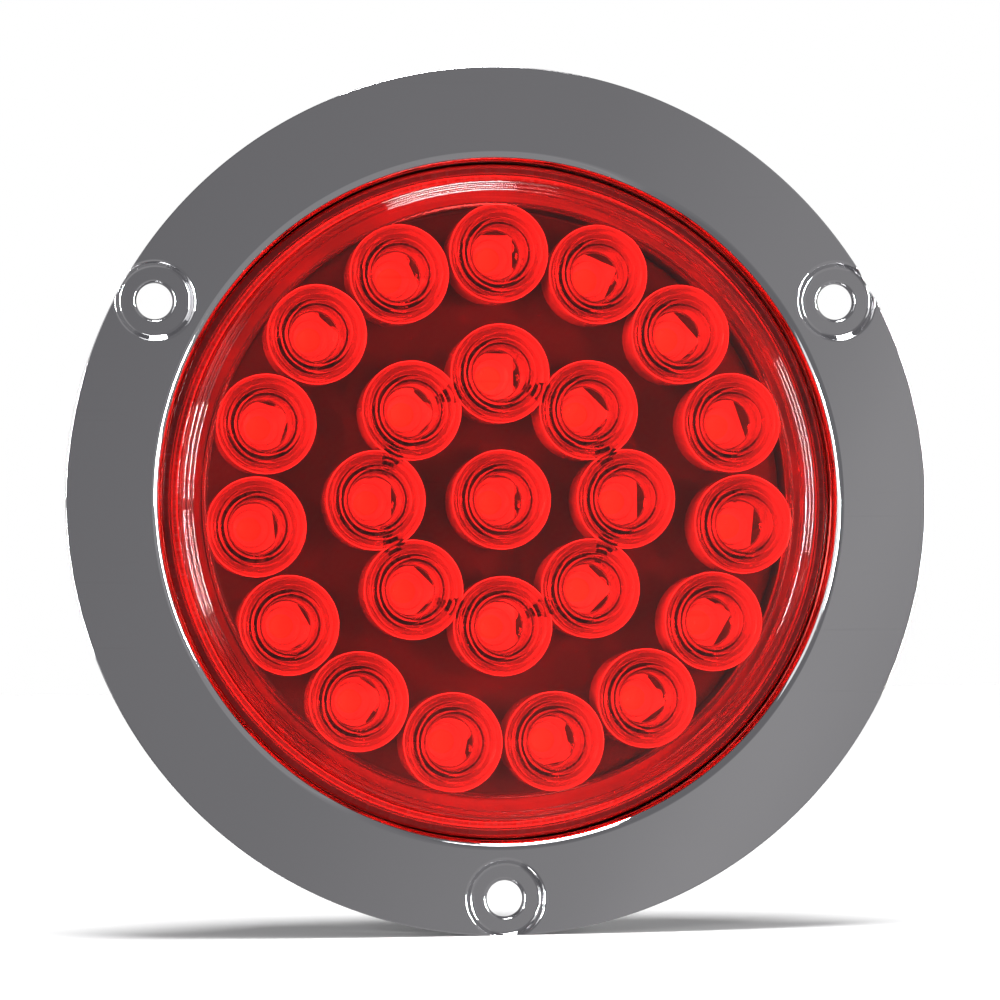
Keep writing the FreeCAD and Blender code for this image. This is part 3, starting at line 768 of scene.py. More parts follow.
def flange_mesh(dish_fillet, edge_break):
    """The pressed ring: a flat sheet with three dishes, rolled in to a collar with a ledge."""
    dish_front = rounded([(HOLE_RADIUS, -SHEET / 2, 0), (HOLE_RADIUS + 0.35, -SHEET, 0.3),
                          (DISH_RADIUS - DISH_RUN, -SHEET, dish_fillet),
                          (DISH_RADIUS, FLANGE_FRONT, dish_fillet),
                          (DISH_RADIUS + 2.4, FLANGE_FRONT, 0)], 6)
    dish_back = rounded([(HOLE_RADIUS, 0, 0), (HOLE_RADIUS + 0.2, 0, 0),
                         (DISH_RADIUS - DISH_RUN / 2, 0, 0.5),
                         (DISH_RADIUS + DISH_RUN, FLANGE_BACK, 0.3),
                         (DISH_RADIUS + 2.4, FLANGE_BACK, 0)], 4, support=0.04)
    bend = OPENING + BEND_RADIUS + 0.05
    loops = [circle(bend, FINE), circle(bend + 0.1, FINE)]
    edge_steps = [FLANGE_RADIUS - edge_break * s for s in (0, 0.3, 0.65, 1.0, 2.0)]
    loops += [circle(r, FINE) for r in edge_steps]
    for rho in thinned([r for r, _ in dish_front + dish_back if r < HOLE_CIRCLE - bend - 0.15]):
        for centre in hole_places():
            loops.append(circle(rho, 120, centre))

    def depth(outline, sign):
        radii, depths = np.array(outline).T

        def at(x, z):
            spare = np.clip(np.hypot(x, z) - (FLANGE_RADIUS - edge_break), 0, edge_break)
            drop = edge_break - np.sqrt(np.maximum(edge_break ** 2 - spare ** 2, 0))
            return np.interp(from_holes(x, z), radii, depths) + sign * drop
        return at

    def keep(x, z):
        radius = np.hypot(x, z)
        return (radius < FLANGE_RADIUS - 0.0016) & (radius > bend) & (from_holes(x, z) > HOLE_RADIUS)

    sheet = flat_sheet(loops, keep, depth(dish_front, 1), depth(dish_back, -1),
                       joined=lambda x, z: np.hypot(x, z) < bend + 0.01)
    collar = turned(rounded([
        (bend, FLANGE_FRONT, 0), (OPENING, FLANGE_FRONT, BEND_RADIUS), (OPENING, LEDGE_FRONT, 0.3),
        (LEDGE_RADIUS, LEDGE_FRONT, 0.2), (LEDGE_RADIUS, LEDGE_BACK, 0.2),
        (COLLAR, LEDGE_BACK, SHEET), (COLLAR, FLANGE_BACK, BEND_RADIUS - SHEET),
        (bend, FLANGE_BACK, 0)], 9), FINE)
    return mesh_of("flange", merged(sheet, collar), sharp=50)


# ---------------------------------------------------------------- cover
def cover_outline(ridges):
    """Half section of the red cover with its rounded ridges, brim and skirt."""
    ridge_width, bulge_height, wall = 0.7, 0.17, 1.6
    skirt, brim_front = CAVITY + 2.0, LENS_FRONT + 4.8
    face_radius = SHOULDER - ridges * ridge_width
    front = rounded([(0, LENS_FRONT, 0), (face_radius, LENS_FRONT, 0)])
    front.insert(1, (face_radius - 0.4, LENS_FRONT))
    for step in range(ridges):
        low = Vector((face_radius + step * ridge_width, LENS_FRONT + step * RIDGE_RISE))
        high = low + Vector((ridge_width, RIDGE_RISE))
        away = Vector((RIDGE_RISE, -ridge_width)).normalized()
        for k in range(1, 8):
            share = k / 7
            bulge = 4 * share * (1 - share) * bulge_height
            front.append(tuple(low.lerp(high, share) + away * bulge))
    rest = rounded([
        (SHOULDER, LENS_FRONT + ridges * RIDGE_RISE, 0), (SHOULDER, brim_front, 0.3),
        (BRIM_RADIUS, brim_front, 0.4), (BRIM_RADIUS, BRIM_BACK, 0.25), (skirt, BRIM_BACK, 0.2),
        (skirt, SKIRT_END, 0.3), (CAVITY, SKIRT_END, 0.3), (CAVITY, LENS_FRONT + wall, 0.7),
        (0, LENS_FRONT + wall, 0)], 5)
    return front + rest[1:]


def make_cover_mesh(teeth, tooth_depth, ridges):
    """Red cover with fine teeth round its shoulder and inside its skirt."""
    count = 2 * teeth
    top = LENS_FRONT + RIDGE_RISE * ridges

    def ripple(radius, depth, count_):
        outer = abs(radius - SHOULDER) < 0.1 and top - 0.1 < depth < LENS_FRONT + 4.4
        inner = abs(radius - CAVITY) < 0.02 and LENS_FRONT + 2.4 < depth < SKIRT_END - 0.4
        cut = tooth_depth if outer else -0.4 * tooth_depth if inner else 0
        return circle_of([radius - cut * (k % 2) for k in range(count_)])

    return mesh_of("lens_cover", turned(cover_outline(ridges), count, ripple=ripple), sharp=75)


# ---------------------------------------------------------------- barrels and emitters
def barrel_part(steps):
    """One clear barrel at the axis: domed middle, stepped rings, tapered wall, spigot, pocket."""
    dome_radius, dome_rise, depth, dome_points = DOME_RADIUS, 0.6, TOOTH_DEPTH, 12
    rear, spigot, pocket = OPTIC_RADIUS - 0.2, 6.0, 3.7
    end, pocket_top = OPTIC_END - 1.2, OPTIC_END - 4.8
    outline = [(dome_radius * k / dome_points, OPTIC_FRONT + dome_rise * (k / dome_points) ** 2)
               for k in range(dome_points + 1)]
    width = (OPTIC_RADIUS - dome_radius) / steps
    for step in range(steps):
        low = dome_radius + step * width
        for share, drop in ((0.08, 1.0), (0.3, 0.66), (0.55, 0.3), (0.8, 0.08), (0.93, 0.0),
                            (0.985, 0.2)):
            if step == 0 and share == 0.08:
                continue
            if step == steps - 1 and share == 0.985:
                continue
            outline.append((low + share * width, OPTIC_FRONT + depth * drop))
    front_bands = len(outline)
    outline += rounded([(OPTIC_RADIUS - 0.2, OPTIC_FRONT, 0), (OPTIC_RADIUS, OPTIC_FRONT + 0.02, 0.1),
                        (rear, end, 0.2), (spigot, end, 0.15), (spigot, OPTIC_END, 0.1),
                        (pocket + 0.05, OPTIC_END, 0)], 3)
    wall_bands = len(outline)
    outline += [(pocket, OPTIC_END - 0.05), (pocket - 0.08, pocket_top + 0.35)]
    outline += [((pocket - 0.3) * k / 8, pocket_top + 0.35 * (1 - (k / 8) ** 2))
                for k in range(8, -1, -1)]

    def wall_or_clear(band):
        return 1 if front_bands <= band < wall_bands else 0

    return outline, wall_or_clear


def barrel_mesh(name, steps, wedge=0.0, ring=0.0):
    """Barrel at the axis; with a wedge angle its sides are cut where its neighbours meet it."""
    outline, wall_or_clear = barrel_part(steps)

    segments, flute_depth = 80, 0.06

    def flutes(radius, depth, count):
        wall = radius > 7.0 and depth > OPTIC_FRONT + 0.5
        return circle_of([radius - (flute_depth if wall and k % 2 else 0) for k in range(count)])

    mesh = mesh_of(name, turned(outline, segments, ripple=flutes), finish_of=wall_or_clear)
    # Mask for painted shade: 1 at the bottom of each step's groove, 0 on its crest.
    groove = mesh.attributes.new("groove", "FLOAT", "POINT")
    for spot, value in zip(mesh.vertices, groove.data):
        radius, depth = math.hypot(spot.co.x, spot.co.z) / MM, spot.co.y / MM - OPTIC_FRONT
        if radius > DOME_RADIUS - 0.05 and depth < TOOTH_DEPTH + 0.3:
            value.value = min(1.0, max(0.0, depth / TOOTH_DEPTH)) ** 0.5
    if wedge:
        work = bmesh.new()
        work.from_mesh(mesh)
        for side in (1, -1):
            bmesh.ops.bisect_plane(
                work, geom=work.verts[:] + work.edges[:] + work.faces[:], dist=1e-7,
                plane_co=(0, 0, -ring * MM),
                plane_no=(side * math.cos(wedge), 0, -math.sin(wedge)), clear_outer=True)
        work.to_mesh(mesh)
        work.free()
    return mesh


def dome_mesh():
    """Clear half-round lens of one emitter."""
    top, radius = corner("led_domes").y, 2.2
    outline = [(radius * math.sin(math.pi / 2 * k / 10),
                top + radius * (1 - math.cos(math.pi / 2 * k / 10))) for k in range(11)]
    outline += [(radius - 0.08, top + radius + 0.06), (0, top + radius + 0.06)]
    return mesh_of("emitter_dome", turned(outline, 40))


def package_mesh():
    """One white emitter base with a round cup, its yellow fill and side contacts."""
    front, back = corner("led_packages").y, corner("led_packages", True).y
    half, cup = 2.5, 1.75
    square = []
    for sx, sz in ((1, 1), (1, -1), (-1, -1), (-1, 1)):
        turn = math.atan2(sx, sz)
        for k in (-2, -1, 0, 1, 2):
            a = turn + k * math.pi / 8
            square.append((sx * (half - 0.35) + 0.35 * math.sin(a),
                           sz * (half - 0.35) + 0.35 * math.cos(a)))
    inner = [(x * 0.955, z * 0.955) for x, z in square]
    radii = [(0.35, 0.2), (0.72, 0.18), (0.8, 0.24), (1.3, 0.24), (cup, 0.0), (cup + 0.08, 0.0)]

    def top(x, z):
        rho = np.hypot(x, z)
        depth = front + np.interp(rho, [r for r, _ in radii], [d for _, d in radii])
        rim = np.maximum(np.abs(x), np.abs(z)) > half * 0.97
        return np.where(rim, front + 0.1, depth)

    body = flat_sheet([square, inner] + [circle(r, 32) for r, _ in radii],
                      lambda x, z: np.abs(x) < 9, top, lambda x, z: np.full(len(x), back))
    verts, faces, _ = body
    kinds = []
    for face in faces:
        middle = np.mean([verts[i] for i in face], axis=0)
        kinds.append(1 if np.hypot(middle[0], middle[2]) < 0.78 and middle[1] < back - 0.2 else 0)
    parts = [(verts, faces, kinds)]
    for side in (1, -1):
        for z in (-1.25, 1.25):
            outline = [(0, front + 0.35), (0.34, front + 0.35), (0.4, front + 0.41),
                       (0.4, back - 0.02), (0, back - 0.02)]
            tab_verts, tab_faces, tab_kinds = turned(outline, 12)
            tab_verts = [(x + side * (half - 0.12), y, zz * 1.4 + z) for x, y, zz in tab_verts]
            parts.append((tab_verts, tab_faces, [2] * len(tab_kinds)))
    return mesh_of("emitter_base", merged(*parts), finish_of=lambda k: k)


# ---------------------------------------------------------------- rings, can, resin, socket
def ring_mesh(name, outline, count=256, steps=5):
    """Closed ring turned from corners with fillets."""
    return mesh_of(name, turned(rounded(outline, steps, closed=True), count, closed=True))


def foam_mesh():
    """Foam ring with three notches round the dishes and softly pressed edges."""
    inner, outer = OPENING + BEND_RADIUS + FIT / 3, FLANGE_RADIUS - 2 * DISH_RUN
    notch, soft = DISH_RADIUS + DISH_RUN + 2 * FIT / 3, 0.3
    steps = (0, 0.05, 0.15, 0.3, 0.6)
    loops = [circle(outer - s, FINE) for s in steps] + [circle(inner + s, FINE) for s in steps]
    for centre in hole_places():
        loops += [circle(notch + s, 96, centre) for s in steps]

    def inset(x, z):
        radius = np.hypot(x, z)
        edge = np.minimum(np.minimum(outer - radius, radius - inner), from_holes(x, z) - notch)
        share = 1 - np.clip(edge, 0, soft) / soft
        return soft * (1 - np.sqrt(np.maximum(1 - share ** 2, 0)))

    def keep(x, z):
        radius = np.hypot(x, z)
        return (radius < outer - 0.0016) & (radius > inner) & (from_holes(x, z) > notch)

    return mesh_of("mount_gasket", flat_sheet(
        loops, keep, lambda x, z: FLANGE_BACK + inset(x, z), lambda x, z: -inset(x, z)), sharp=60)


def slot_distance(x, z, radius):
    """Distance outwards from a long rounded slot of that end radius."""
    return np.hypot(np.maximum(np.abs(x) - SOCKET_SLIDE, 0), z) - radius


def vent_distance(x, z, radius):
    """Distance outwards from the round hole of the breather."""
    return np.hypot(x, z - VENT_PLACE) - radius


def rear_plate(outer, front, back, slot, vent, rise, joined_edge):
    """Round plate with the socket's slot and the breather's hole; rise lifts its rear face."""
    steps = (0, 0.12, 0.3, 0.6, 1.0, 1.6)
    loops = [circle(outer - s, 256) for s in steps]
    loops += [slot_loop(slot + s, SOCKET_SLIDE, 96) for s in steps]
    loops += [circle(vent + s, 64, (0, VENT_PLACE)) for s in steps]

    def keep(x, z):
        return ((np.hypot(x, z) < outer - 0.0035) & (slot_distance(x, z, slot) > 0)
                & (vent_distance(x, z, vent) > 0))

    def rear(x, z):
        edge = np.minimum(np.minimum(outer - np.hypot(x, z), slot_distance(x, z, slot)),
                          vent_distance(x, z, vent))
        return back + rise * (np.exp(-np.maximum(edge, 0) / 0.45) - 0.6)

    return flat_sheet(loops, keep, lambda x, z: np.full(len(x), front),
                      rear if rise else lambda x, z: np.full(len(x), back),
                      joined=(lambda x, z: np.hypot(x, z) > outer - 0.01) if joined_edge else None)


def can_mesh():
    """Grey can: rim with seal groove, clip groove, tapered tail and pierced rear wall."""
    (groove, bore), rim, rim_back = CLIP_GROOVE, BRIM_RADIUS - 0.2, corner("seat_gasket").y
    ledge, board_seat, seam = 44.5, CAVITY + 0.2, 39.0
    seal_inner, seal_outer, groove_end = 51.4, 53.0, CLIP_DEPTHS[1] + 0.05
    outline = rounded([
        (seam, CAN_INSIDE, 0), (ledge, CAN_INSIDE, 0.8), (ledge, BOARD_BACK, 0.1),
        (board_seat, BOARD_BACK, 0.3), (board_seat, SKIRT_END + 0.2, 0.15),
        (bore, SKIRT_END + 0.2, 0.2), (bore, BRIM_BACK, 0.15), (seal_inner, BRIM_BACK, 0.1),
        (seal_inner, BRIM_BACK + 1.0, 0.15), (seal_outer, BRIM_BACK + 1.0, 0.15),
        (seal_outer, BRIM_BACK, 0.1), (rim, BRIM_BACK, 0.25), (rim, rim_back, 0.25),
        (bore, rim_back, 0.2), (bore, CLIP_DEPTHS[0], 0.1), (groove, CLIP_DEPTHS[0], 0.15),
        (groove, groove_end, 0.15), (bore, groove_end, 0.2), (bore, 14.0, 0.6),
        (46.5, HOUSING_BACK, 0.9),
        (POTTING_RADIUS + 0.05, HOUSING_BACK, 0.6), (POTTING_RADIUS + 0.05, FLOOR_BACK, 0.2),
        (seam, FLOOR_BACK, 0)], 5)
    wall = rear_plate(seam, CAN_INSIDE, FLOOR_BACK, SOCKET_HOLE, 2.45, 0, True)
    return mesh_of("housing", merged(turned(outline, 256), wall))


def clip_mesh():
    """Split ring of square wire with rounded corners and ends."""
    inner, outer, half_gap = CLIP_GROOVE[0] + 0.05, 52.4, 6.0
    front, back = CLIP_DEPTHS
    section = rounded([(inner, front, 0.3), (outer, front, 0.35), (outer, back, 0.35),
                       (inner, back, 0.3)], 4, closed=True)
    middle = Vector((sum(r for r, _ in section) / len(section), (front + back) / 2))
    reach = math.pi - math.asin(half_gap / middle.x)
    shrink = [(0.0, 0.55), (0.08, 0.8), (0.25, 0.95), (0.5, 1.0)]
    stops = [(reach - s / middle.x, k) for s, k in shrink]
    pieces = 300
    inner_stops = [(stops[-1][0] * (1 - 2 * i / pieces), 1.0) for i in range(1, pieces)]
    stations = stops + inner_stops + [(-a, k) for a, k in reversed(stops)]
    verts, faces = [], []
    size = len(section)
    for angle, scale in stations:
        for r, y in section:
            radius = middle.x + (r - middle.x) * scale
            verts.append((radius * math.sin(angle), middle.y + (y - middle.y) * scale,
                          radius * math.cos(angle)))
    for i in range(len(stations) - 1):
        for k in range(size):
            n = (k + 1) % size
            faces.append((i * size + k, i * size + n, (i + 1) * size + n, (i + 1) * size + k))
    faces.append(tuple(range(size)))
    faces.append(tuple(range(len(verts) - size, len(verts)))[::-1])
    return mesh_of("retaining_clip", (verts, faces, [0] * len(faces)))


def socket_mesh():
    """Rear inlet: foot, long rounded shroud and a closed inner end with three pin holes."""
    wall, foot, bottom = 1.5, 2.0, POTTING_BACK - 0.6
    end = corner("socket_shell", True).x - SOCKET_SLIDE - foot
    cavity = end - wall
    outline = rounded([
        (cavity, SOCKET_FRONT, 0), (end + foot, SOCKET_FRONT, 0.3), (end + foot, 18.0, 0.3),
        (end, 18.0, 0.1), (end, SOCKET_BACK, 0.45), (cavity, SOCKET_BACK, 0.45),
        (cavity, bottom, 0)], 6)
    shroud = loft([slot_loop(r, SOCKET_SLIDE, 96) for r, _ in outline], [y for _, y in outline])
    pins = [circle(PIN_RADIUS + 0.05, 40, (x, 0)) for x in (-PIN_SPACING, 0, PIN_SPACING)]

    def keep(x, z):
        clear = np.min([np.hypot(x - a, z) for a in (-PIN_SPACING, 0, PIN_SPACING)], axis=0)
        return (slot_distance(x, z, cavity) < -1e-4) & (clear > PIN_RADIUS + 0.05)

    base = flat_sheet([slot_loop(cavity, SOCKET_SLIDE, 96)] + pins, keep,
                      lambda x, z: np.full(len(x), SOCKET_FRONT),
                      lambda x, z: np.full(len(x), bottom),
                      joined=lambda x, z: slot_distance(x, z, cavity) > -0.02)
    return mesh_of("socket_shell", merged(shroud, base))


def pin_mesh():
    """Round contact pin with a turned groove and a rounded nose."""
    back, front = corner("terminal_pins", True).y, corner("terminal_pins").y
    nose = [(PIN_RADIUS * math.cos(math.pi / 2 * k / 8),
             back - PIN_RADIUS + PIN_RADIUS * math.sin(math.pi / 2 * k / 8)) for k in range(1, 8)]
    outline = rounded([(0, front, 0), (PIN_RADIUS, front, 0.25), (PIN_RADIUS, 22.0, 0.05),
                       (PIN_RADIUS - 0.18, 22.15, 0.05), (PIN_RADIUS - 0.18, 22.6, 0.05),
                       (PIN_RADIUS, 22.75, 0.05), (PIN_RADIUS, back - PIN_RADIUS, 0)], 3)
    return mesh_of("contact_pin", turned(outline + nose + [(0, back)], 48))


def vent_mesh():
    """Breather plug: shank, round head with a shallow dish and a raised rim."""
    front, back = corner("vent_plug").y, corner("vent_plug", True).y
    outline = rounded([(0, front, 0), (2.4, front, 0.2), (2.4, FLOOR_BACK, 0.05),
                       (VENT_RADIUS, FLOOR_BACK, 0.1), (VENT_RADIUS, back, 0.4), (2.9, back, 0.2),
                       (2.5, back - 0.45, 0.2), (0.9, back - 0.45, 0.15), (0.7, back - 0.15, 0.1),
                       (0, back - 0.15, 0)], 4)
    return mesh_of("vent_plug", turned(outline, 64, centre=(0, VENT_PLACE)))


# ---------------------------------------------------------------- operators
class TailLightMakeFlange(bpy.types.Operator):
    """Press the bright flange with its collar, ledge and screw dishes"""
    bl_idname = "tail_light.make_flange"
    bl_label = "Flange"

    def execute(self, context):
        metal = setting(context, "metal")
        mesh = flange_mesh(metal.dish_fillet / MM, metal.edge_break / MM)
        place("flange", mesh, [make_chrome("bright_plating", metal.tone)], ["flange"],
              "chrome_sheet")
        return {"FINISHED"}


class TailLightMakeCover(bpy.types.Operator):
    """Mould the red cover"""
    bl_idname = "tail_light.make_cover"
    bl_label = "Red cover"

    def execute(self, context):
        cover = setting(context, "cover")
        mesh = make_cover_mesh(cover.teeth, cover.tooth_depth / MM, cover.ridges)
        place("lens_cover", mesh, [make_clear("clear_red", cover.red, (0.01, 0.03), 60.0, gloss=0.2)],
              ["lens_cover"], "red_clear")
        return {"FINISHED"}


class TailLightMakeBarrels(bpy.types.Operator):
    """Mould the clear barrels: outer ring, fused inner ring and centre"""
    bl_idname = "tail_light.make_barrels"
    bl_label = "Barrels"

    def execute(self, context):
        optics = setting(context, "optics")
        finishes = [make_barrel_clear("clear_barrel", (0.97, 0.97, 0.97)),
                    make_barrel_wall("barrel_wall", optics.wall)]
        steps = optics.rings
        single = barrel_mesh("barrel", steps)
        wedge = math.pi / optics.inner_count
        fused = barrel_mesh("cut_barrel", steps, wedge, INNER_RING)
        for name, source, count, radius, weld in (
                ("optics_outer", single, optics.outer_count, OUTER_RING, 1e-7),
                ("optics_inner", fused, optics.inner_count, INNER_RING, 3e-6),
                ("optic_centre", single, 1, 0.0, 1e-7)):
            mesh = ring_of(name, source, count, radius, finishes, weld=weld)
            place(name, mesh, finishes, [name], "clear_optic")
        return {"FINISHED"}


class TailLightMakeEmitters(bpy.types.Operator):
    """Set a white base and a clear dome behind each barrel"""
    bl_idname = "tail_light.make_emitters"
    bl_label = "Emitters"

    def execute(self, context):
        optics = setting(context, "optics")
        base = [make_solid("emitter_white", (0.86, 0.86, 0.82), (0.25, 0.4), 2500.0, 0.01),
                make_solid("emitter_fill", optics.glow, (0.3, 0.45), 3500.0, 0.02),
                make_solid("emitter_contact", (0.75, 0.73, 0.66), (0.2, 0.4), 2500.0, 0.01,
                           metallic=1.0)]
        clear = [make_clear("emitter_clear", (0.98, 0.97, 0.93), (0.01, 0.04), 200.0, 1.41)]
        for name, source, finishes, slot in (
                ("led_packages", package_mesh(), base, "led_white"),
                ("led_domes", dome_mesh(), clear, "led_clear")):
            rings = [ring_of(name, source, count, radius, finishes) for count, radius in (
                (optics.outer_count, OUTER_RING), (optics.inner_count, INNER_RING), (1, 0.0))]
            mesh = joined(name, rings)
            mesh.shade_smooth()
            mesh.set_sharp_from_angle(angle=math.radians(HARD_EDGE))
            place(name, mesh, finishes, [name], slot)
        return {"FINISHED"}


class TailLightMakeSeals(bpy.types.Operator):
    """Make the foam ring, the rubber rings and the spring clip"""
    bl_idname = "tail_light.make_seals"
    bl_label = "Rings and clip"

    def execute(self, context):
        body, metal = setting(context, "body"), setting(context, "metal")
        rubber = make_solid("seal_rubber_black", body.rubber, (0.55, 0.8), 1400.0, 0.04)
        foam = make_solid("foam_black", body.foam, (0.85, 1.0), 1100.0, 0.25, marks=120.0,
                          spread=0.6, bump=0.9)
        steel = make_solid("spring_steel", metal.steel, (0.22, 0.4), 2200.0, 0.008, metallic=1.0,
                           spread=0.9)
        ring = place("mount_gasket", foam_mesh(), [foam], ["mount_gasket"], "foam")
        silicone = make_solid("seal_silicone_grey", (0.35, 0.34, 0.34), (0.35, 0.5), 1400.0, 0.02)
        seal_front, seal_back = corner("lens_seal").y, corner("lens_seal", True).y
        seal = corner("lens_seal", True).x
        place("lens_seal", ring_mesh("lens_seal", [
            (seal - 1.4, seal_front, 0.35), (seal, seal_front, 0.35),
            (seal, seal_back, 0.3), (seal - 1.4, seal_back, 0.3)]),
            [silicone], ["lens_seal"], "seal_silicone")
        seat_front, seat_back = corner("seat_gasket").y, corner("seat_gasket", True).y
        seat = corner("seat_gasket", True).x
        place("seat_gasket", ring_mesh("seat_gasket", [
            (LEDGE_RADIUS + 0.2, seat_front, 0.25), (seat, seat_front, 0.3),
            (seat, seat_back, 0.3), (LEDGE_RADIUS + 0.2, seat_back, 0.3)]),
            [rubber], ["seat_gasket"], "seal_rubber")
        place("retaining_clip", clip_mesh(), [steel], ["retaining_clip"], "spring_steel")
        return {"FINISHED"}


class TailLightMakeCan(bpy.types.Operator):
    """Mould the can and fill its rear recess with resin; push in the breather"""
    bl_idname = "tail_light.make_can"
    bl_label = "Can and resin"

    def execute(self, context):
        body = setting(context, "body")
        case = make_solid("can_grey", body.case, (0.4, 0.62), 1300.0, 0.05, marks=55.0,
                          spread=0.8)
        resin = make_solid("poured_resin", (0.014, 0.014, 0.015), (0.08, 0.2), 160.0, 0.25,
                           marks=50.0, spread=0.8, bump=0.25)
        grey = make_solid("breather_grey", (0.2, 0.2, 0.21), (0.45, 0.6), 2200.0, 0.02)
        place("housing", can_mesh(), [case], ["housing"], "grey_case")
        pool = rear_plate(POTTING_RADIUS, FLOOR_BACK, POTTING_BACK, SOCKET_HOLE,
                          VENT_RADIUS + 0.05, 0.35, False)
        place("potting", mesh_of("potting", pool, sharp=60), [resin], ["potting"], "resin")
        place("vent_plug", vent_mesh(), [grey], ["vent_plug"], "vent_grey")
        return {"FINISHED"}


class TailLightMakeSocket(bpy.types.Operator):
    """Mould the rear inlet and set its three contact pins"""
    bl_idname = "tail_light.make_socket"
    bl_label = "Socket and pins"

    def execute(self, context):
        shell = make_solid("socket_black", (0.02, 0.02, 0.022), (0.25, 0.45), 1600.0, 0.025,
                           marks=80.0)
        brass = make_solid("pin_brass", (0.82, 0.6, 0.28), (0.15, 0.32), 2600.0, 0.006,
                           metallic=1.0, marks=150.0, spread=0.85)
        place("socket_shell", socket_mesh(), [shell], ["socket_shell"], "black_socket")
        source = pin_mesh()
        pins = [ring_of("terminal_pins", source, 2, PIN_SPACING, [brass], start=math.pi / 2),
                ring_of("terminal_pins", source, 1, 0.0, [brass])]
        mesh = joined("terminal_pins", pins)
        mesh.shade_smooth()
        mesh.set_sharp_from_angle(angle=math.radians(HARD_EDGE))
        place("terminal_pins", mesh, [brass], ["terminal_pins"], "brass_pin")
        return {"FINISHED"}


class TailLightFinishBoard(bpy.types.Operator):
    """Finish the carrier, the board and the parts soldered to it"""
    bl_idname = "tail_light.finish_board"
    bl_label = "Carrier and board"

    def execute(self, context):
        mask = setting(context, "body").mask
        for node, name, tone, rough, grain, depth, metallic in (
                ("optic_carrier", "carrier_dark", (0.028, 0.028, 0.028), (0.3, 0.5), 900.0, 0.04, 0),
                ("led_board", "board_mask", mask, (0.2, 0.35), 1500.0, 0.02, 0),
                ("resistors", "chip_glaze", (0.03, 0.03, 0.032), (0.2, 0.35), 3000.0, 0.01, 0),
                ("diodes", "diode_black", (0.04, 0.04, 0.042), (0.4, 0.6), 2500.0, 0.02, 0),
                ("driver_chips", "driver_black", (0.035, 0.035, 0.036), (0.45, 0.6), 2500.0, 0.02, 0),
                ("capacitors", "can_metal", (0.7, 0.7, 0.72), (0.25, 0.4), 2500.0, 0.01, 1),
                ("pin_leads", "lead_copper", (0.72, 0.48, 0.34), (0.25, 0.4), 2500.0, 0.01, 1),
                ("solder_joints", "solder_bright", (0.62, 0.62, 0.63), (0.2, 0.4), 2000.0, 0.02, 1)):
            repaint(node, make_solid(name, tone, rough, grain, depth, metallic=metallic))
        return {"FINISHED"}


class TailLightSetStage(bpy.types.Operator):
    """Set the floor, the lights and the camera"""
    bl_idname = "tail_light.set_stage"
    bl_label = "Stage"

    def execute(self, context):
        stage = setting(context, "stage")
        scene = context.scene
        scene.view_settings.view_transform = "Standard"
        set_camera(scene, stage)
        set_surround(scene, stage.surround)
        set_floor(scene)
        set_lights(scene, stage.sky)
        return {"FINISHED"}


def set_camera(scene, stage):
    """Camera a little to the left of the lamp axis and just below it."""
    data = bpy.data.cameras.new("camera")
    data.lens, data.sensor_width = stage.lens, 36.0
    data.dof.use_dof = False
    data.clip_start, data.clip_end = 0.05, 50.0
    camera = bpy.data.objects.new("camera", data)
    scene.collection.objects.link(camera)
    flat = math.cos(stage.elevation)
    away = Vector((math.sin(stage.azimuth) * flat, -math.cos(stage.azimuth) * flat,
                   math.sin(stage.elevation)))
    camera.rotation_mode = "QUATERNION"
    camera.location = away * stage.distance
    facing = (-away).to_track_quat("-Z", "Y")
    camera.rotation_quaternion = facing @ Matrix.Rotation(stage.roll, 3, "Z").to_quaternion()
    scene.camera = camera


def set_surround(scene, level):
    """White behind everything for the camera; for what it lights, a grey with soft bands."""
    world = bpy.data.worlds.new("surround")
    scene.world = world
    world.use_nodes = True
    tree = world.node_tree
    tree.nodes.clear()
    out = add(tree, "ShaderNodeOutputWorld")
    where = add(tree, "ShaderNodeTexCoord").outputs["Generated"]
    split = add(tree, "ShaderNodeSeparateXYZ", [(0, where)])
    across = add(tree, "ShaderNodeMath", [(0, split.outputs["X"])], operation="MULTIPLY", in_1=0.62)
    down = add(tree, "ShaderNodeMath", [(0, split.outputs["Z"]), (2, across.outputs[0])],
               operation="MULTIPLY_ADD", in_1=-0.3)
    along = add(tree, "ShaderNodeMapRange", [("Value", down.outputs[0])], in_1=-0.02, in_2=0.18)
    ramp = add(tree, "ShaderNodeValToRGB", [(0, along.outputs[0])])
    stops = ramp.color_ramp
    stops.interpolation = "EASE"
    for spot, share in SURROUND_SHARES:
        stop = stops.elements[0] if spot == 0 else (
            stops.elements[-1] if spot == 1 else stops.elements.new(spot))
        grey = level * share
        stop.color = (grey, grey * 0.985, grey * 0.97 + 0.012, 1)
    path = add(tree, "ShaderNodeLightPath")
    mix = add(tree, "ShaderNodeMix", data_type="RGBA", in_7=(1, 1, 1, 1))
    tree.links.new(path.outputs["Is Camera Ray"], mix.inputs[0])
    tree.links.new(ramp.outputs[0], mix.inputs[6])
    back = add(tree, "ShaderNodeBackground", [("Color", mix.outputs[2])])
    tree.links.new(back.outputs[0], out.inputs["Surface"])


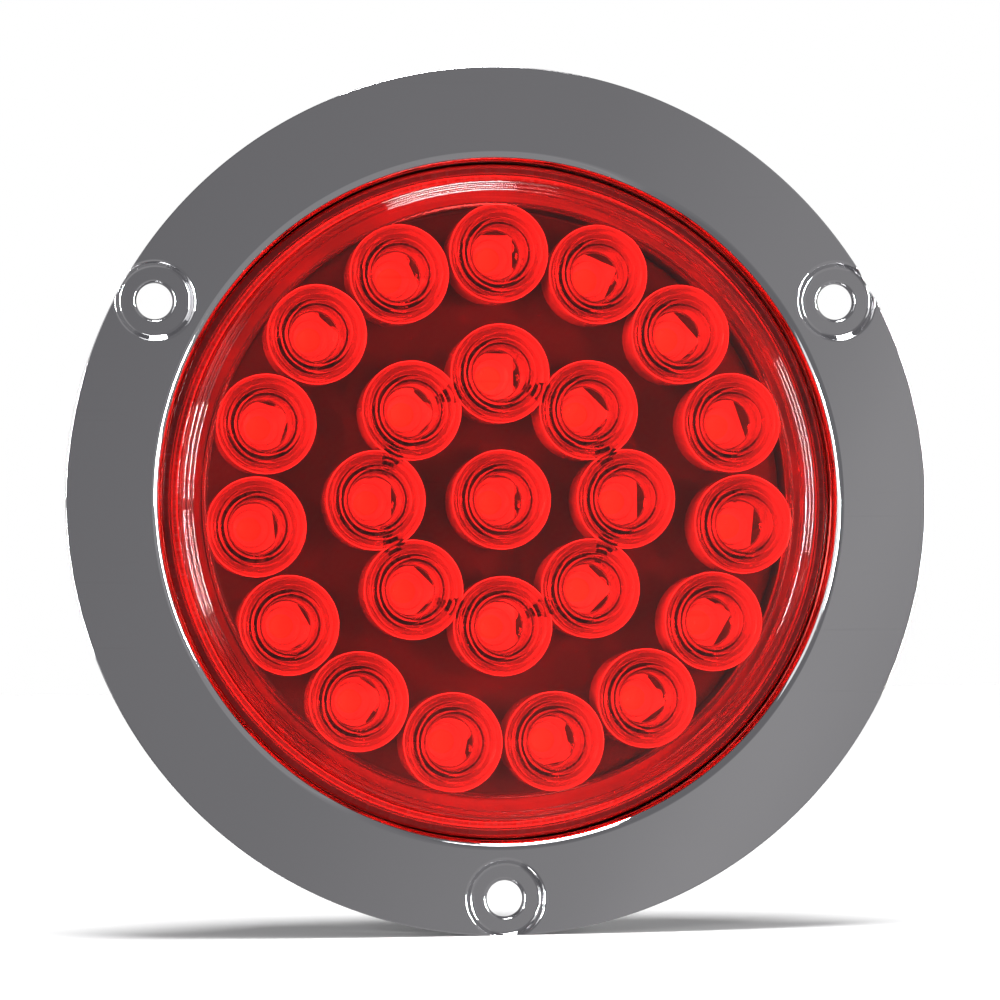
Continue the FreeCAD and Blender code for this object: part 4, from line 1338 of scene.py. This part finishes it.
def set_floor(scene):
    """Plain pale floor under the lamp."""
    mesh = bpy.data.meshes.new("floor")
    level, reach = -FLANGE_RADIUS * MM, 6.0
    mesh.from_pydata([(-reach, -reach, level), (reach, -reach, level), (reach, reach, level),
                      (-reach, reach, level)], [], [(0, 1, 2, 3)])
    floor = bpy.data.objects.new("floor", mesh)
    scene.collection.objects.link(floor)
    mesh.materials.append(make_solid("pale_floor", (0.62, 0.62, 0.62), (0.8, 0.9), 60.0, 0,
                                     spread=0.99))
    floor.visible_glossy = False
    floor.visible_shadow = False


def set_lights(scene, sky):
    """Overhead light from a little in front, and the softboxes."""
    data = bpy.data.lights.new("overhead", "SUN")
    data.energy, data.angle = sky, math.radians(24)
    sun = bpy.data.objects.new("overhead", data)
    sun.rotation_euler = (math.radians(17), 0, 0)
    scene.collection.objects.link(sun)
    for name, spot, size, watts in SOFTBOXES:
        data = bpy.data.lights.new(name, "AREA")
        data.shape, data.size, data.size_y, data.energy = "RECTANGLE", size[0], size[1], watts
        lamp = bpy.data.objects.new(name, data)
        lamp.location = spot
        lamp.rotation_mode = "QUATERNION"
        lamp.rotation_quaternion = Vector(spot).to_track_quat("Z", "Y")
        scene.collection.objects.link(lamp)


STEPS = (TailLightMakeFlange, TailLightMakeCover, TailLightMakeBarrels, TailLightMakeEmitters,
         TailLightMakeSeals, TailLightMakeCan, TailLightMakeSocket, TailLightFinishBoard,
         TailLightSetStage)


class TailLightPanel(bpy.types.Panel):
    """Sidebar panel with the settings and the steps"""
    bl_idname = "VIEW3D_PT_tail_light"
    bl_label = "Tail light"
    bl_space_type = "VIEW_3D"
    bl_region_type = "UI"
    bl_category = "Tail light"

    def draw(self, context):
        for group, kind in SETTINGS.items():
            box = self.layout.box()
            box.label(text=group.capitalize())
            for name in kind.__annotations__:
                box.prop(setting(context, group), name)
        for step in STEPS:
            self.layout.operator(step.bl_idname)


def register():
    for kind in (*SETTINGS.values(), *STEPS, TailLightPanel):
        bpy.utils.register_class(kind)
    for group, kind in SETTINGS.items():
        setattr(bpy.types.Scene, "tail_light_" + group, bpy.props.PointerProperty(type=kind))


def unregister():
    for group in SETTINGS:
        delattr(bpy.types.Scene, "tail_light_" + group)
    for kind in reversed((*SETTINGS.values(), *STEPS, TailLightPanel)):
        bpy.utils.unregister_class(kind)


def main():
    """Run every step in order."""
    register()
    for step in STEPS:
        group, name = step.bl_idname.split(".")
        getattr(getattr(bpy.ops, group), name)()


if __name__ == "__main__":
    main()
